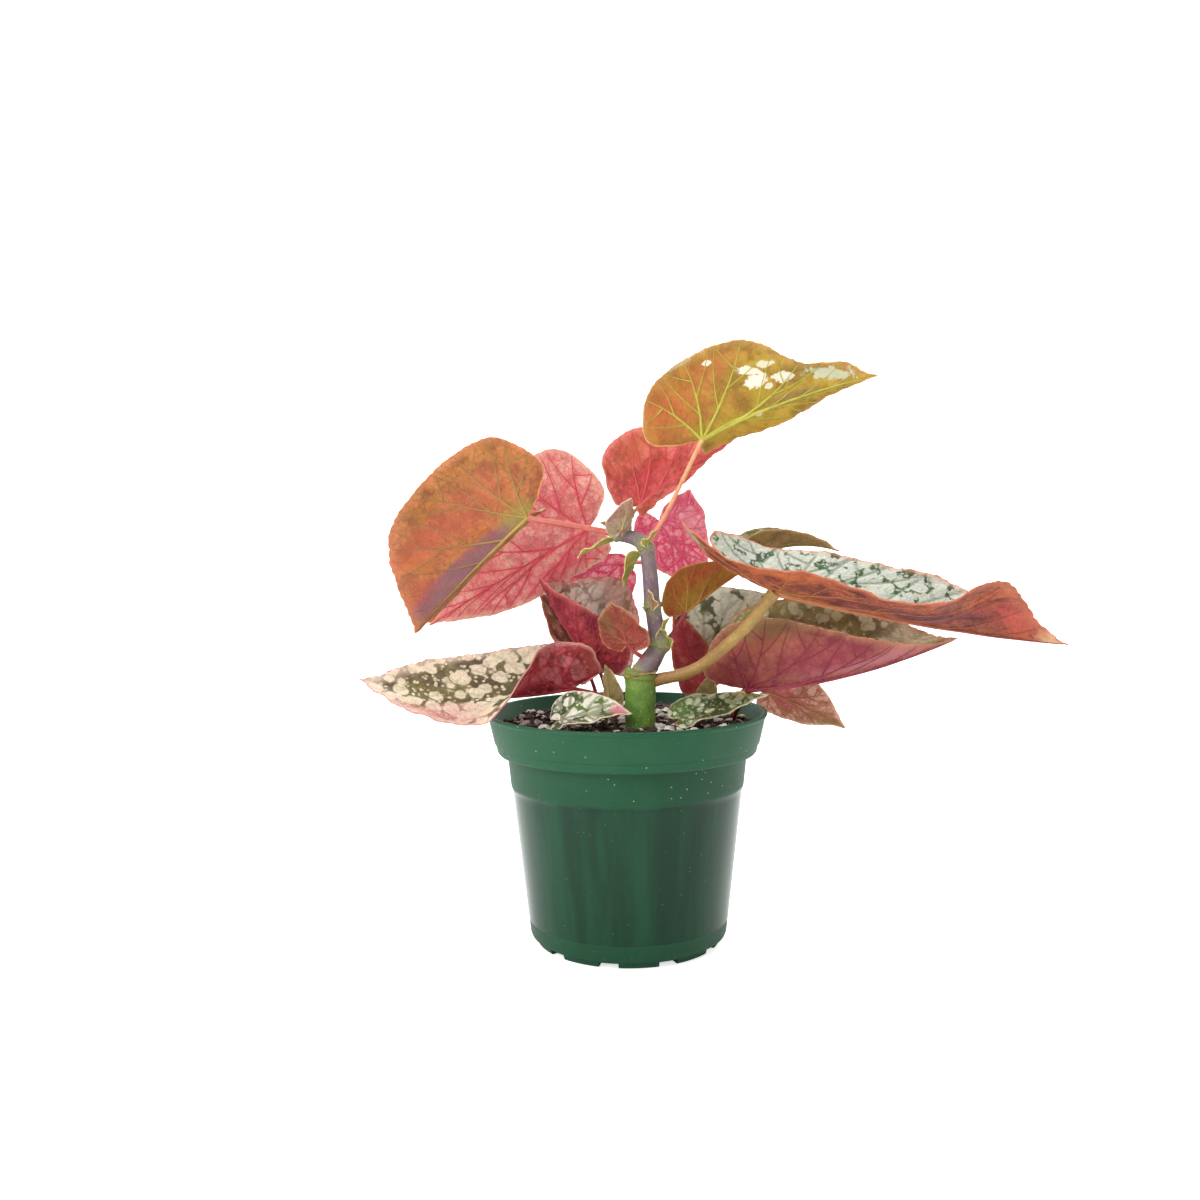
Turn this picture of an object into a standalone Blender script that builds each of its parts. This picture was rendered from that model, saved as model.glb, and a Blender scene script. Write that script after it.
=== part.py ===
"""A potted cane begonia: a nursery pot, its soil, the cane and the leaves, each a closed solid.

Metres, +Z up. The origin is the centre of the pot's underside, and -Y is the side that is
seen first. Each leaf is one solid, blade and stalk together, as it grew.
"""

import math
import random
from dataclasses import dataclass

import bmesh
import bpy
from mathutils import Vector

MM = 0.001
GAP = 0.3 * MM

# The pot: a round 4 inch nursery pot, measured across the outside of its rim.
RIM_RADIUS = 54.0 * MM
POT_HEIGHT = 89.0 * MM
WALL = 1.5 * MM
BAND_HEIGHT = 15.5 * MM
BAND_RADIUS = 50.0 * MM
NECK_RADIUS = 46.3 * MM
NECK_HEIGHT = 29.0 * MM
STEP_RADIUS = 44.5 * MM
FOOT_RADIUS = 38.1 * MM
BASE_RADIUS = 35.5 * MM
BASE_RISE = 2.8 * MM
POT_SEGMENTS = 42
NOTCHES = 10
NOTCH_WIDTH = 7.4 * MM
NOTCH_INNER = 29.0 * MM
NOTCH_HEIGHT = 1.9 * MM

# The soil stands a little below the rim and is heaped round the cane.
SOIL_DEPTH = 4.6 * MM
SOIL_LUMP = 1.3 * MM
SOIL_RINGS = 5
SOIL_SPOKES = 22
PERLITE_COUNT = 24
PERLITE_SIZE = (1.6 * MM, 3.4 * MM)

# The cane: a thick green stub and a thinner purple shoot that zigzags from node to node.
STUB_RADIUS = 5.7 * MM
SHOOT_RADIUS = 3.0 * MM
CANE_ROOT = 45.0

BLADE = 0.8 * MM
STALK_SIDES = 6
STALK_STEPS = 2
SWELL_SPAN = 0.12
SEED = 11


@dataclass(frozen=True)
class Half:
    """One side of a blade: its width and its lobe behind the stalk in mm, and how it stands.

    fold holds the degrees that it is raised at the end of the lobe, at the stalk, half way
    along and at the tip. curl is how many degrees more it has turned when it reaches the margin.
    taper is above 1 where it is slim towards the tip and below 1 where it stays broad, and
    swell is the place on the way to the tip where it bulges, and by what share.
    """

    width: float
    lobe: float
    fold: tuple = (8, 8, 8, 8)
    curl: float = 0.0
    taper: float = 1.0
    swell: tuple = (0.5, 0.0)


@dataclass(frozen=True)
class Leaf:
    """A leaf by where its blade meets the stalk, its tip, and the stalk's way from its root, in mm."""

    name: str
    joint: tuple
    tip: tuple
    turn: float
    left: Half
    right: Half
    stalk: tuple
    colour: str = "leaf_red"
    droop: float = 20.0
    tail: float = 0.0
    wave: float = 0.6
    waves: float = 3.0
    phase: float = 0.0
    thick: tuple = (1.8, 1.4)
    spokes: int = 7
    rings: int = 2
    in_soil: bool = False


# Centres in mm and radii, from the root up.
STUB_POINTS = (
    ((5.0, -15.0, CANE_ROOT), STUB_RADIUS),
    ((5.0, -15.0, 84.0), STUB_RADIUS),
    ((5.2, -15.0, 102.6), STUB_RADIUS * 1.02),
    ((5.4, -15.0, 104.6), STUB_RADIUS * 1.1),
    ((5.6, -15.0, 105.9), STUB_RADIUS * 0.9),
)
SHOOT_POINTS = (
    ((5.0, -15.0, 103.6), 4.0 * MM),
    ((8.8, -15.0, 109.0), 4.0 * MM),
    ((11.2, -15.0, 113.0), 3.6 * MM),
    ((12.3, -15.0, 116.2), 4.3 * MM),
    ((11.6, -15.0, 119.6), 3.2 * MM),
    ((10.3, -15.0, 128.2), SHOOT_RADIUS),
    ((9.9, -15.0, 130.0), 3.5 * MM),
    ((9.7, -15.0, 131.8), SHOOT_RADIUS),
    ((9.2, -15.0, 141.0), 2.9 * MM),
    ((8.4, -14.6, 149.2), 2.8 * MM),
    ((7.4, -14.4, 152.4), 3.2 * MM),
    ((4.4, -13.8, 154.8), 2.7 * MM),
    ((-0.6, -12.6, 156.4), 2.6 * MM),
    ((-3.6, -12.0, 157.2), 3.2 * MM),
    ((-5.8, -11.4, 157.8), 1.6 * MM),
)

LEAVES = (
    Leaf(
        "leaf_top", (28.0, -22.0, 190.8), (89.0, -34.0, 211.5), -58.0,
        Half(6.5, 1, (4, 4, 4, 4), 10, 0.8, (0.5, 0.5)),
        Half(28, 18, (6, 6, 8, 24), 22, 0.8, (0.68, -0.55)),
        ((8.0, -15.0, 152.0), (15.0, -19.0, 164.0), (23.0, -21.5, 180.0)),
        "leaf_olive", droop=40, wave=1.2, waves=3.5, spokes=12, rings=3,
    ),
    Leaf(
        "leaf_top_rear", (5.6, 10.0, 168.2), (43.0, 20.0, 193.5), -64.0,
        Half(6, 2), Half(27, 9, (4, 4, 6, 8), 14),
        ((-2.0, -12.2, 156.8), (0.0, -4.0, 161.0)),
        droop=26, wave=0.8, thick=(1.6, 1.3), spokes=8, rings=3,
    ),
    Leaf(
        "leaf_left_large", (-35.8, -22.0, 163.2), (-76.0, -32.0, 122.0), 80.0,
        Half(35, 17, (6, 6, 6, 8), 14, 0.5), Half(14, 7, (44, 50, 52, 40), 50, 0.8),
        ((-3.6, -12.0, 157.0), (-18.0, -16.0, 160.0)),
        "leaf_olive", droop=22, wave=1.4, spokes=12, rings=3, thick=(2.4, 1.8),
    ),
    Leaf(
        "leaf_left_rear", (-14.4, 6.0, 159.0), (-76.0, -2.0, 122.5), 84.0,
        Half(35, 13, (4, 4, 4, 4), 8), Half(14, 5, (4, 4, 4, 4), 10, 0.7),
        ((-3.0, -12.0, 157.2), (-8.0, -4.0, 158.0)),
        droop=16, wave=1.0, spokes=9, rings=3,
    ),
    Leaf(
        "leaf_pink_rear", (14.0, 22.0, 161.6), (34.0, 30.0, 134.5), -90.0,
        Half(13, 8), Half(20, 4),
        ((8.2, -14.5, 151.0), (9.0, 4.0, 155.0)),
        "leaf_pink", droop=30, wave=1.0, waves=5.0,
    ),
    Leaf(
        "leaf_young_top", (-1.4, -18.0, 158.6), (2.3, -23.0, 170.0), 0.0,
        Half(6, 3, (20, 20, 20, 20)), Half(6, 3, (20, 20, 20, 20)),
        ((-2.4, -12.2, 156.8), (-2.2, -16.0, 157.2)),
        "leaf_silver", droop=10, spokes=5, thick=(1.4, 1.2),
    ),
    Leaf(
        "leaf_right_large", (53.6, -30.0, 135.9), (152.0, -46.0, 117.2), 2.0,
        Half(26, 32, (34, 30, 44, 20), 8, 0.8), Half(26, 42, (8, 18, 17, 104), 8, 0.62, (0.78, 0.4)),
        ((5.4, -15.0, 101.0), (12.0, -16.0, 102.6), (26.0, -19.0, 107.0), (42.0, -25.0, 121.0)),
        "leaf_olive", droop=-8, tail=-40, wave=1.2, waves=4.0, thick=(5.0, 4.0), spokes=12, rings=4,
    ),
    Leaf(
        "leaf_right_small", (48.8, 16.0, 147.0), (86.0, 22.0, 149.5), 0.0,
        Half(11, 5, (34, 34, 34, 24), 36), Half(10, 5, (34, 34, 34, 24), 36),
        ((10.1, -15.0, 129.4), (24.0, -2.0, 134.0), (40.0, 10.0, 140.0)),
        "leaf_olive", droop=44,
    ),
    Leaf(
        "leaf_right_lower", (46.1, -8.0, 97.7), (119.0, -28.0, 118.5), 4.0,
        Half(34, 10, (40, 40, 46, 30), 50, 0.75), Half(28, 15, (52, 50, 50, 34), 60, 1.3),
        ((40.5, 8.0, 74.0), (41.5, 7.6, 84.0)),
        droop=-22, wave=0.8, thick=(2.8, 2.2), spokes=11, rings=3, in_soil=True,
    ),
    Leaf(
        "leaf_right_droop", (56.0, 12.0, 94.0), (85.0, 2.0, 81.0), -78.0,
        Half(9, 3), Half(14, 8),
        ((40.0, 16.0, 74.0), (41.0, 16.0, 86.0), (48.0, 15.0, 95.0)),
        "leaf_pink", droop=24, in_soil=True,
    ),
    Leaf(
        "leaf_low_left", (-21.0, -4.0, 98.0), (-97.5, -26.0, 105.0), -30.0,
        Half(20, 12, (88, 100, -2, 0), 20, 0.32), Half(25, 5, (6, 4, 4, 4), 10, 0.7),
        ((-3.0, 8.0, 74.0), (-5.0, 5.0, 90.0), (-12.0, 0.0, 95.0)),
        "leaf_spotted", droop=-34, wave=1.0, thick=(2.4, 1.9), spokes=12, rings=4, in_soil=True,
    ),
    Leaf(
        "leaf_centre_folded", (-10.9, 3.0, 106.0), (-32.4, -6.0, 141.0), 0.0,
        Half(16, 7, (26, 28, 36, 24), 44), Half(38, 15, (32, 36, 44, 26), 56, 0.7),
        ((-6.4, 7.0, 74.0), (-6.6, 7.0, 88.0), (-8.6, 5.4, 98.0)),
        droop=-26, spokes=9, rings=3, in_soil=True,
    ),
    Leaf(
        "leaf_centre_small", (0.4, -19.0, 116.7), (-5.0, -28.0, 132.5), 0.0,
        Half(9, 3), Half(12, 4),
        ((9.0, -15.0, 109.6), (4.0, -17.5, 112.5)),
        droop=10, spokes=5,
    ),
    Leaf(
        "leaf_centre_rear", (-16.5, 27.0, 104.0), (-36.0, 23.0, 134.0), -50.0,
        Half(13, 6, (10, 10, 10, 10), 10), Half(20, 8, (30, 30, 30, 20), 20),
        ((-12.0, 30.0, 74.0), (-12.4, 30.0, 90.0)),
        droop=10, in_soil=True,
    ),
    Leaf(
        "leaf_centre_pink", (-2.0, 24.0, 145.0), (-37.0, 20.0, 143.0), 80.0,
        Half(4, 3), Half(16, 6),
        ((8.6, -14.6, 146.0), (5.0, 2.0, 146.0)),
        "leaf_pink", droop=10,
    ),
    Leaf(
        "leaf_heart", (22.4, -8.0, 127.0), (48.5, 4.0, 144.0), -75.0,
        Half(7, 3, (60, 60, 60, 60)), Half(15, 8),
        ((11.8, -15.0, 116.0), (17.0, -13.0, 119.0)),
        "leaf_olive", droop=16,
    ),
    Leaf(
        "leaf_silver", (31.1, 17.0, 113.6), (58.5, 13.0, 133.0), 78.0,
        Half(18, 5), Half(13, 8),
        ((24.0, 20.0, 74.0), (24.5, 20.0, 90.0), (28.0, 19.0, 105.0)),
        "leaf_silver", droop=16, in_soil=True,
    ),
    Leaf(
        "leaf_dark", (28.6, 6.0, 98.0), (18.6, 6.0, 128.0), 80.0,
        Half(9, 3), Half(8, 3),
        ((30.0, 7.0, 74.0), (29.5, 6.0, 90.0)),
        droop=16, spokes=5, in_soil=True,
    ),
    Leaf(
        "leaf_soil_right", (20.6, -16.0, 88.2), (54.0, -8.0, 95.5), 14.0,
        Half(8, 4, (24, 24, 24, 24)), Half(7, 3, (-6, -6, -6, -6)),
        ((17.0, -15.6, 76.0), (17.4, -15.6, 84.0)),
        "leaf_silver", droop=14, thick=(1.5, 1.3), in_soil=True,
    ),
    Leaf(
        "leaf_soil_left", (-24.0, -21.0, 88.4), (2.0, -26.5, 91.4), 14.0,
        Half(11, 5, (34, 34, 34, 34)), Half(7, 4, (-4, -4, -4, -4)),
        ((-27.0, -20.0, 76.0), (-26.8, -20.0, 84.0)),
        "leaf_silver", droop=26, thick=(1.5, 1.3), in_soil=True,
    ),
    Leaf(
        "sheath_left", (-6.6, -12.0, 93.0), (-8.0, -14.0, 108.0), 0.0,
        Half(5, 2, (30, 30, 30, 30)), Half(5, 2, (30, 30, 30, 30)),
        ((-8.0, -9.0, 76.0), (-7.8, -9.4, 86.0)),
        "sheath", droop=30, thick=(1.6, 1.4), spokes=5, in_soil=True,
    ),
    Leaf(
        "sheath_right", (29.0, 0.0, 88.8), (33.0, -2.0, 103.2), -80.0,
        Half(5, 2, (20, 20, 20, 20)), Half(5, 2, (20, 20, 20, 20)),
        ((27.6, 1.0, 76.0), (28.0, 1.0, 84.0)),
        "sheath", droop=30, thick=(1.6, 1.4), spokes=5, in_soil=True,
    ),
)


def clear_scene():
    """Removes whatever objects the scene holds."""
    for obj in list(bpy.data.objects):
        bpy.data.objects.remove(obj, do_unlink=True)


def material(name, colour, roughness, metallic=0.0):
    """A Principled material, made once for each name."""
    made = bpy.data.materials.get(name)
    if made is None:
        made = bpy.data.materials.new(name)
        made.use_nodes = True
        shader = made.node_tree.nodes["Principled BSDF"]
        shader.inputs["Base Color"].default_value = (*colour, 1.0)
        shader.inputs["Roughness"].default_value = roughness
        shader.inputs["Metallic"].default_value = metallic
        made.diffuse_color = (*colour, 1.0)
    return made


FINISHES = {
    "pot_green": ((0.035, 0.115, 0.06), 0.4),
    "soil": ((0.06, 0.035, 0.025), 0.95),
    "cane": ((0.16, 0.11, 0.09), 0.6),
    "leaf_red": ((0.42, 0.06, 0.06), 0.5),
    "leaf_olive": ((0.38, 0.15, 0.05), 0.5),
    "leaf_pink": ((0.62, 0.08, 0.16), 0.5),
    "leaf_spotted": ((0.3, 0.32, 0.2), 0.5),
    "leaf_silver": ((0.42, 0.47, 0.38), 0.45),
    "sheath": ((0.5, 0.4, 0.25), 0.6),
}


def object_from(name, points, faces, finish):
    """A smooth shaded mesh object in the scene, from points in metres and faces."""
    mesh = bpy.data.meshes.new(name)
    mesh.from_pydata(points, [], faces)
    mesh.validate()
    obj = bpy.data.objects.new(name, mesh)
    bpy.context.scene.collection.objects.link(obj)
    mesh.materials.append(material(finish, *FINISHES[finish]))
    mesh.shade_smooth()
    mesh.set_sharp_from_angle(angle=math.radians(40))
    return obj


def apply_boolean(obj, others, operation, solver="EXACT"):
    """Joins others to obj or cuts them from it, applies that, and removes them."""
    helpers = bpy.data.collections.new("helpers")
    bpy.context.scene.collection.children.link(helpers)
    for other in others:
        bpy.context.scene.collection.objects.unlink(other)
        helpers.objects.link(other)
    modifier = obj.modifiers.new(operation.lower(), "BOOLEAN")
    modifier.operation = operation
    modifier.solver = solver
    modifier.operand_type = "COLLECTION"
    modifier.collection = helpers
    graph = bpy.context.evaluated_depsgraph_get()
    joined = bpy.data.meshes.new_from_object(obj.evaluated_get(graph))
    obj.modifiers.clear()
    obj.data = joined
    joined.name = obj.name
    for other in others:
        bpy.data.objects.remove(other, do_unlink=True)
    bpy.data.collections.remove(helpers)


def turned(profile, segments):
    """Points and faces of a profile of (radius, height) turned round Z, with its ends on the axis."""
    points = []
    rings = []
    for radius, height in profile:
        if radius < 1e-9:
            rings.append([len(points)])
            points.append((0.0, 0.0, height))
            continue
        rings.append(list(range(len(points), len(points) + segments)))
        for step in range(segments):
            angle = 2 * math.pi * step / segments
            points.append((radius * math.cos(angle), radius * math.sin(angle), height))
    faces = []
    for low, high in zip(rings, rings[1:]):
        for step in range(segments):
            after = (step + 1) % segments
            if len(low) == 1:
                faces.append((low[0], high[after], high[step]))
            elif len(high) == 1:
                faces.append((low[step], low[after], high[0]))
            else:
                faces.append((low[step], low[after], high[after], high[step]))
    return points, faces


def smooth_path(points, steps):
    """Points of a Catmull-Rom curve through the given ones, steps to each span."""
    ends = [points[0] * 2 - points[1], *points, points[-1] * 2 - points[-2]]
    path = []
    for before, start, end, after in zip(ends, ends[1:], ends[2:], ends[3:]):
        for step in range(steps):
            t = step / steps
            path.append(
                0.5 * (2 * start + (end - before) * t
                       + (2 * before - 5 * start + 4 * end - after) * t * t
                       + (3 * start - before - 3 * end + after) * t ** 3)
            )
    path.append(points[-1])
    return path


def tube(path, radii, sides):
    """Points and faces of a closed tube along a path, with a radius at each of its points."""
    points = []
    across = None
    for i, centre in enumerate(path):
        ahead = (path[min(i + 1, len(path) - 1)] - path[max(i - 1, 0)]).normalized()
        if across is None:
            across = ahead.orthogonal().normalized()
        across = (across - ahead * across.dot(ahead)).normalized()
        other = ahead.cross(across)
        for side in range(sides):
            angle = 2 * math.pi * side / sides
            points.append(centre + (across * math.cos(angle) + other * math.sin(angle)) * radii[i])
    faces = [tuple(reversed(range(sides)))]
    for ring in range(len(path) - 1):
        for side in range(sides):
            a = ring * sides + side
            b = ring * sides + (side + 1) % sides
            faces.append((a, b, b + sides, a + sides))
    last = (len(path) - 1) * sides
    faces.append(tuple(range(last, last + sides)))
    return points, faces


def outside_profile():
    """The pot's section from the middle of its underside up the outside and over the lip."""
    band_low = POT_HEIGHT - BAND_HEIGHT
    neck_low = POT_HEIGHT - NECK_HEIGHT
    return (
        (0.0, 0.0),
        (BASE_RADIUS, 0.0),
        (BASE_RADIUS + 0.5 * MM, BASE_RISE * 0.8),
        (FOOT_RADIUS - 1.0 * MM, BASE_RISE),
        (FOOT_RADIUS, BASE_RISE + 1.2 * MM),
        (STEP_RADIUS, neck_low),
        (STEP_RADIUS + 0.4 * MM, neck_low + 0.6 * MM),
        (NECK_RADIUS, band_low),
        (BAND_RADIUS - 0.8 * MM, band_low),
        (BAND_RADIUS, band_low + 0.7 * MM),
        (BAND_RADIUS + 0.6 * MM, band_low + 3.6 * MM),
        (BAND_RADIUS + 1.1 * MM, band_low + 4.0 * MM),
        (RIM_RADIUS - 0.6 * MM, POT_HEIGHT - 1.6 * MM),
        (RIM_RADIUS, POT_HEIGHT - 0.9 * MM),
        (RIM_RADIUS - 0.5 * MM, POT_HEIGHT),
        (RIM_RADIUS - 1.5 * MM, POT_HEIGHT),
    )


def inside_profile():
    """The pot's section from under the lip down the inside to the middle of its floor."""
    band_low = POT_HEIGHT - BAND_HEIGHT
    floor = BASE_RISE + WALL
    return (
        (RIM_RADIUS - 2.4 * MM, POT_HEIGHT - 2.6 * MM),
        (BAND_RADIUS - WALL + 0.2 * MM, band_low + 4.4 * MM),
        (NECK_RADIUS - WALL, band_low + 0.6 * MM),
        (STEP_RADIUS - WALL, POT_HEIGHT - NECK_HEIGHT),
        (FOOT_RADIUS - WALL, floor + 1.0 * MM),
        (FOOT_RADIUS - WALL - 1.6 * MM, floor),
        (BASE_RADIUS - 2.0 * MM, WALL),
        (0.0, WALL),
    )


def build_pot():
    """The pot, with drain slots cut through the edge of its base."""
    pot = object_from("pot", *turned((*outside_profile(), *inside_profile()), POT_SEGMENTS), "pot_green")
    slots = []
    for number in range(NOTCHES):
        angle = 2 * math.pi * (number + 0.5) / NOTCHES - math.pi / 2 + math.radians(6)
        slots.append(drain_slot(angle))
    apply_boolean(pot, slots, "DIFFERENCE", "MANIFOLD")
    pot.data.shade_smooth()
    pot.data.set_sharp_from_angle(angle=math.radians(32))
    return pot


def drain_slot(angle):
    """A cutter for one drain slot, lying along the radius at this angle."""
    made = bmesh.new()
    bmesh.ops.create_cube(made, size=1.0)
    length = FOOT_RADIUS - NOTCH_INNER + 2 * MM
    height = NOTCH_HEIGHT + 1.0 * MM
    middle = NOTCH_INNER + length / 2
    for vert in made.verts:
        along = middle + vert.co.x * length
        across = vert.co.y * NOTCH_WIDTH
        vert.co = Vector((
            along * math.cos(angle) - across * math.sin(angle),
            along * math.sin(angle) + across * math.cos(angle),
            NOTCH_HEIGHT - height / 2 + vert.co.z * height,
        ))
    mesh = bpy.data.meshes.new("slot")
    made.to_mesh(mesh)
    made.free()
    slot = bpy.data.objects.new("slot", mesh)
    bpy.context.scene.collection.objects.link(slot)
    return slot


def wall_radius(height):
    """The radius of the pot's inner wall at a height."""
    inside = inside_profile()
    for (upper, top), (lower, bottom) in zip(inside, inside[1:]):
        if bottom <= height <= top:
            return lower + (upper - lower) * (height - bottom) / (top - bottom)
    return inside[0][0]


def soil_height(x, y):
    """The height of the soil's surface, uneven and a little heaped towards the cane."""
    lumps = (
        math.sin(x * 260 + 1.3) * math.cos(y * 210 + 0.4)
        + 0.6 * math.sin(x * 520 + y * 430)
        + 0.4 * math.cos(y * 760 - x * 350)
    )
    reach = math.hypot(x, y) / RIM_RADIUS
    return POT_HEIGHT - SOIL_DEPTH + SOIL_LUMP * 0.5 * lumps - 0.8 * MM * reach ** 4


def build_soil(standing):
    """The soil that fills the pot, with bits of perlite on it and holes for what stands in it."""
    top = POT_HEIGHT - SOIL_DEPTH - SOIL_LUMP * 1.6
    clear = GAP * 1.2
    walls = [(max(radius - clear, 0.0), height + clear) for radius, height in inside_profile()[::-1]]
    walls = [place for place in walls if place[1] < top] + [(wall_radius(top) - clear, top)]
    points, faces = turned(walls, SOIL_SPOKES)
    edge = walls[-1][0]
    previous = list(range(len(points) - SOIL_SPOKES, len(points)))
    for ring in range(SOIL_RINGS, 0, -1):
        current = list(range(len(points), len(points) + SOIL_SPOKES))
        radius = (edge - 0.3 * MM) * ring / SOIL_RINGS
        for spoke in range(SOIL_SPOKES):
            angle = 2 * math.pi * spoke / SOIL_SPOKES
            x = radius * math.cos(angle)
            y = radius * math.sin(angle)
            points.append((x, y, soil_height(x, y)))
        for spoke in range(SOIL_SPOKES):
            after = (spoke + 1) % SOIL_SPOKES
            faces.append((previous[spoke], previous[after], current[after]))
            faces.append((previous[spoke], current[after], current[spoke]))
        previous = current
    centre = len(points)
    points.append((0.0, 0.0, soil_height(0.0, 0.0)))
    for spoke in range(SOIL_SPOKES):
        faces.append((previous[spoke], previous[(spoke + 1) % SOIL_SPOKES], centre))
    soil = object_from("soil", points, faces, "soil")
    draw = random.Random(SEED)
    bits = []
    while len(bits) < PERLITE_COUNT:
        angle = draw.uniform(0, 2 * math.pi)
        reach = (edge - 4.5 * MM) * math.sqrt(draw.random())
        size = draw.uniform(*PERLITE_SIZE)
        place = Vector((reach * math.cos(angle), reach * math.sin(angle), 0.0))
        bits.append(perlite_bit(soil, place, size, draw))
    apply_boolean(soil, bits, "UNION")
    apply_boolean(soil, standing, "DIFFERENCE")
    return soil


def perlite_bit(soil, place, size, draw):
    """A many sided crumb, half sunk in the soil's surface."""
    made = bmesh.new()
    bmesh.ops.create_icosphere(made, subdivisions=1, radius=size / 2)
    above = Vector((place.x, place.y, POT_HEIGHT * 2))
    _, surface, _, _ = soil.ray_cast(above, Vector((0.0, 0.0, -1.0)))
    for vert in made.verts:
        vert.co *= draw.uniform(0.75, 1.1)
        vert.co += surface
    mesh = bpy.data.meshes.new("bit")
    made.to_mesh(mesh)
    made.free()
    bit = bpy.data.objects.new("bit", mesh)
    bpy.context.scene.collection.objects.link(bit)
    return bit


def cane_pieces(extra=0.0):
    """The cane's stub and shoot as two closed tubes, grown by extra all round."""
    pieces = []
    for table, sides in ((STUB_POINTS, 14), (SHOOT_POINTS, 12)):
        path = [Vector(place) * MM for place, _ in table]
        radii = [radius + extra for _, radius in table]
        pieces.append(object_from("cane", *tube(path, radii, sides), "cane"))
    return pieces


def build_cane():
    """The cane from inside the soil to its growing tip, its shoot joined to its stub."""
    stub, shoot = cane_pieces()
    apply_boolean(stub, [shoot], "UNION")
    stub.name = "cane"
    return stub


# The outline of half a blade, from the tip back to the notch behind the stalk: how far along
# as a share of the length ahead of the stalk, or of the lobe behind it, and how far across.
OUTLINE = (
    (1.0, 0.0),
    (0.93, 0.07),
    (0.82, 0.27),
    (0.7, 0.49),
    (0.55, 0.74),
    (0.32, 0.95),
    (0.04, 1.0),
    (-0.5, 0.9),
    (-0.92, 0.58),
    (-0.98, 0.28),
    (-0.46, 0.08),
)


def margin(half, length, count):
    """Points on the margin of a half from the tip to the notch, flat, across taken as positive."""
    corners = []
    for along, across in OUTLINE:
        reach = along * half.lobe * MM
        if along > 0:
            share = along ** half.taper
            across *= 1 + half.swell[1] * math.exp(-(((share - half.swell[0]) / SWELL_SPAN) ** 2))
            reach = share * length
        corners.append(Vector((reach, across * half.width * MM, 0.0)))
    path = smooth_path(corners, 12)
    lengths = [0.0]
    for before, after in zip(path, path[1:]):
        lengths.append(lengths[-1] + (after - before).length)
    points = []
    index = 0
    for step in range(count + 1):
        wanted = lengths[-1] * step / count
        while index < len(path) - 2 and lengths[index + 1] < wanted:
            index += 1
        span = max(lengths[index + 1] - lengths[index], 1e-12)
        points.append(path[index].lerp(path[index + 1], min((wanted - lengths[index]) / span, 1.0)))
    return points


def leaf_frame(leaf):
    """The directions of a leaf's tip, left side and upper side, and the distance to its tip."""
    chord = (Vector(leaf.tip) - Vector(leaf.joint)) * MM
    ahead = chord.normalized()
    left = Vector((0.0, 0.0, 1.0)).cross(ahead).normalized()
    up = ahead.cross(left)
    turn = math.radians(leaf.turn)
    side = left * math.cos(turn) + up * math.sin(turn)
    return ahead, side, ahead.cross(side), chord.length


def bent(distance, start, rate):
    """Where a strip lies at a distance, if it leaves at an angle and turns at a rate."""
    if abs(rate) < 1e-6:
        return distance * math.cos(start), distance * math.sin(start)
    end = start + rate * distance
    return (math.sin(end) - math.sin(start)) / rate, (math.cos(start) - math.cos(end)) / rate


def raised(half, behind, along):
    """How many degrees a half is raised at a share of the way to the tip, or behind the stalk."""
    if along < 0:
        places = (half.fold[1], half.fold[0])
        step = min(-behind / (half.lobe * MM), 1.0)
    elif along < 0.5:
        places = half.fold[1:3]
        step = along * 2
    else:
        places = half.fold[2:]
        step = along * 2 - 1
    smooth = step * step * (3 - 2 * step)
    return places[0] + (places[1] - places[0]) * smooth


def blade_place(leaf, flat, side, share, length):
    """A point of the blade in the leaf's own frame, from its flat place and share of the reach."""
    half = leaf.left if side > 0 else leaf.right
    along = max(min(flat.x / length, 1.0), -1.0)
    rate = math.radians(half.curl) / (half.width * MM)
    across, rise = bent(flat.y, math.radians(raised(half, flat.x, along)), rate)
    ripple = math.sin(leaf.waves * math.pi * along + math.radians(leaf.phase) * side)
    rise += leaf.wave * MM * share ** 2 * ripple * min(flat.y / (0.4 * half.width * MM), 1.0)
    across *= side
    lobe = max(leaf.left.lobe, leaf.right.lobe) * MM
    bend = math.radians(leaf.droop) / length if along > 0 else math.radians(leaf.tail) / lobe
    run, drop = bent(flat.x, 0.0, bend)
    slope = bend * flat.x
    return Vector((run + rise * math.sin(slope), across, rise * math.cos(slope) - drop))


def blade_points(leaf, spokes, rings):
    """The blade's middle surface: its centre, then rings of points from the left notch to the right."""
    ahead, side, up, chord = leaf_frame(leaf)
    bend = math.radians(leaf.droop)
    length = chord * (bend / 2) / math.sin(bend / 2) if abs(bend) > 1e-6 else chord
    lead = ahead * math.cos(bend / 2) + up * math.sin(bend / 2)
    upper = up * math.cos(bend / 2) - ahead * math.sin(bend / 2)
    joint = Vector(leaf.joint) * MM
    left = [(point, 1.0) for point in reversed(margin(leaf.left, length, spokes))]
    right = [(point, -1.0) for point in margin(leaf.right, length, spokes)[1:]]
    points = [joint]
    for ring in range(1, rings + 1):
        share = ring / rings
        for edge, sign in left + right:
            local = blade_place(leaf, edge * share, sign, share, length)
            points.append(joint + lead * local.x + side * local.y + upper * local.z)
    return points, len(left) + len(right)


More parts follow.
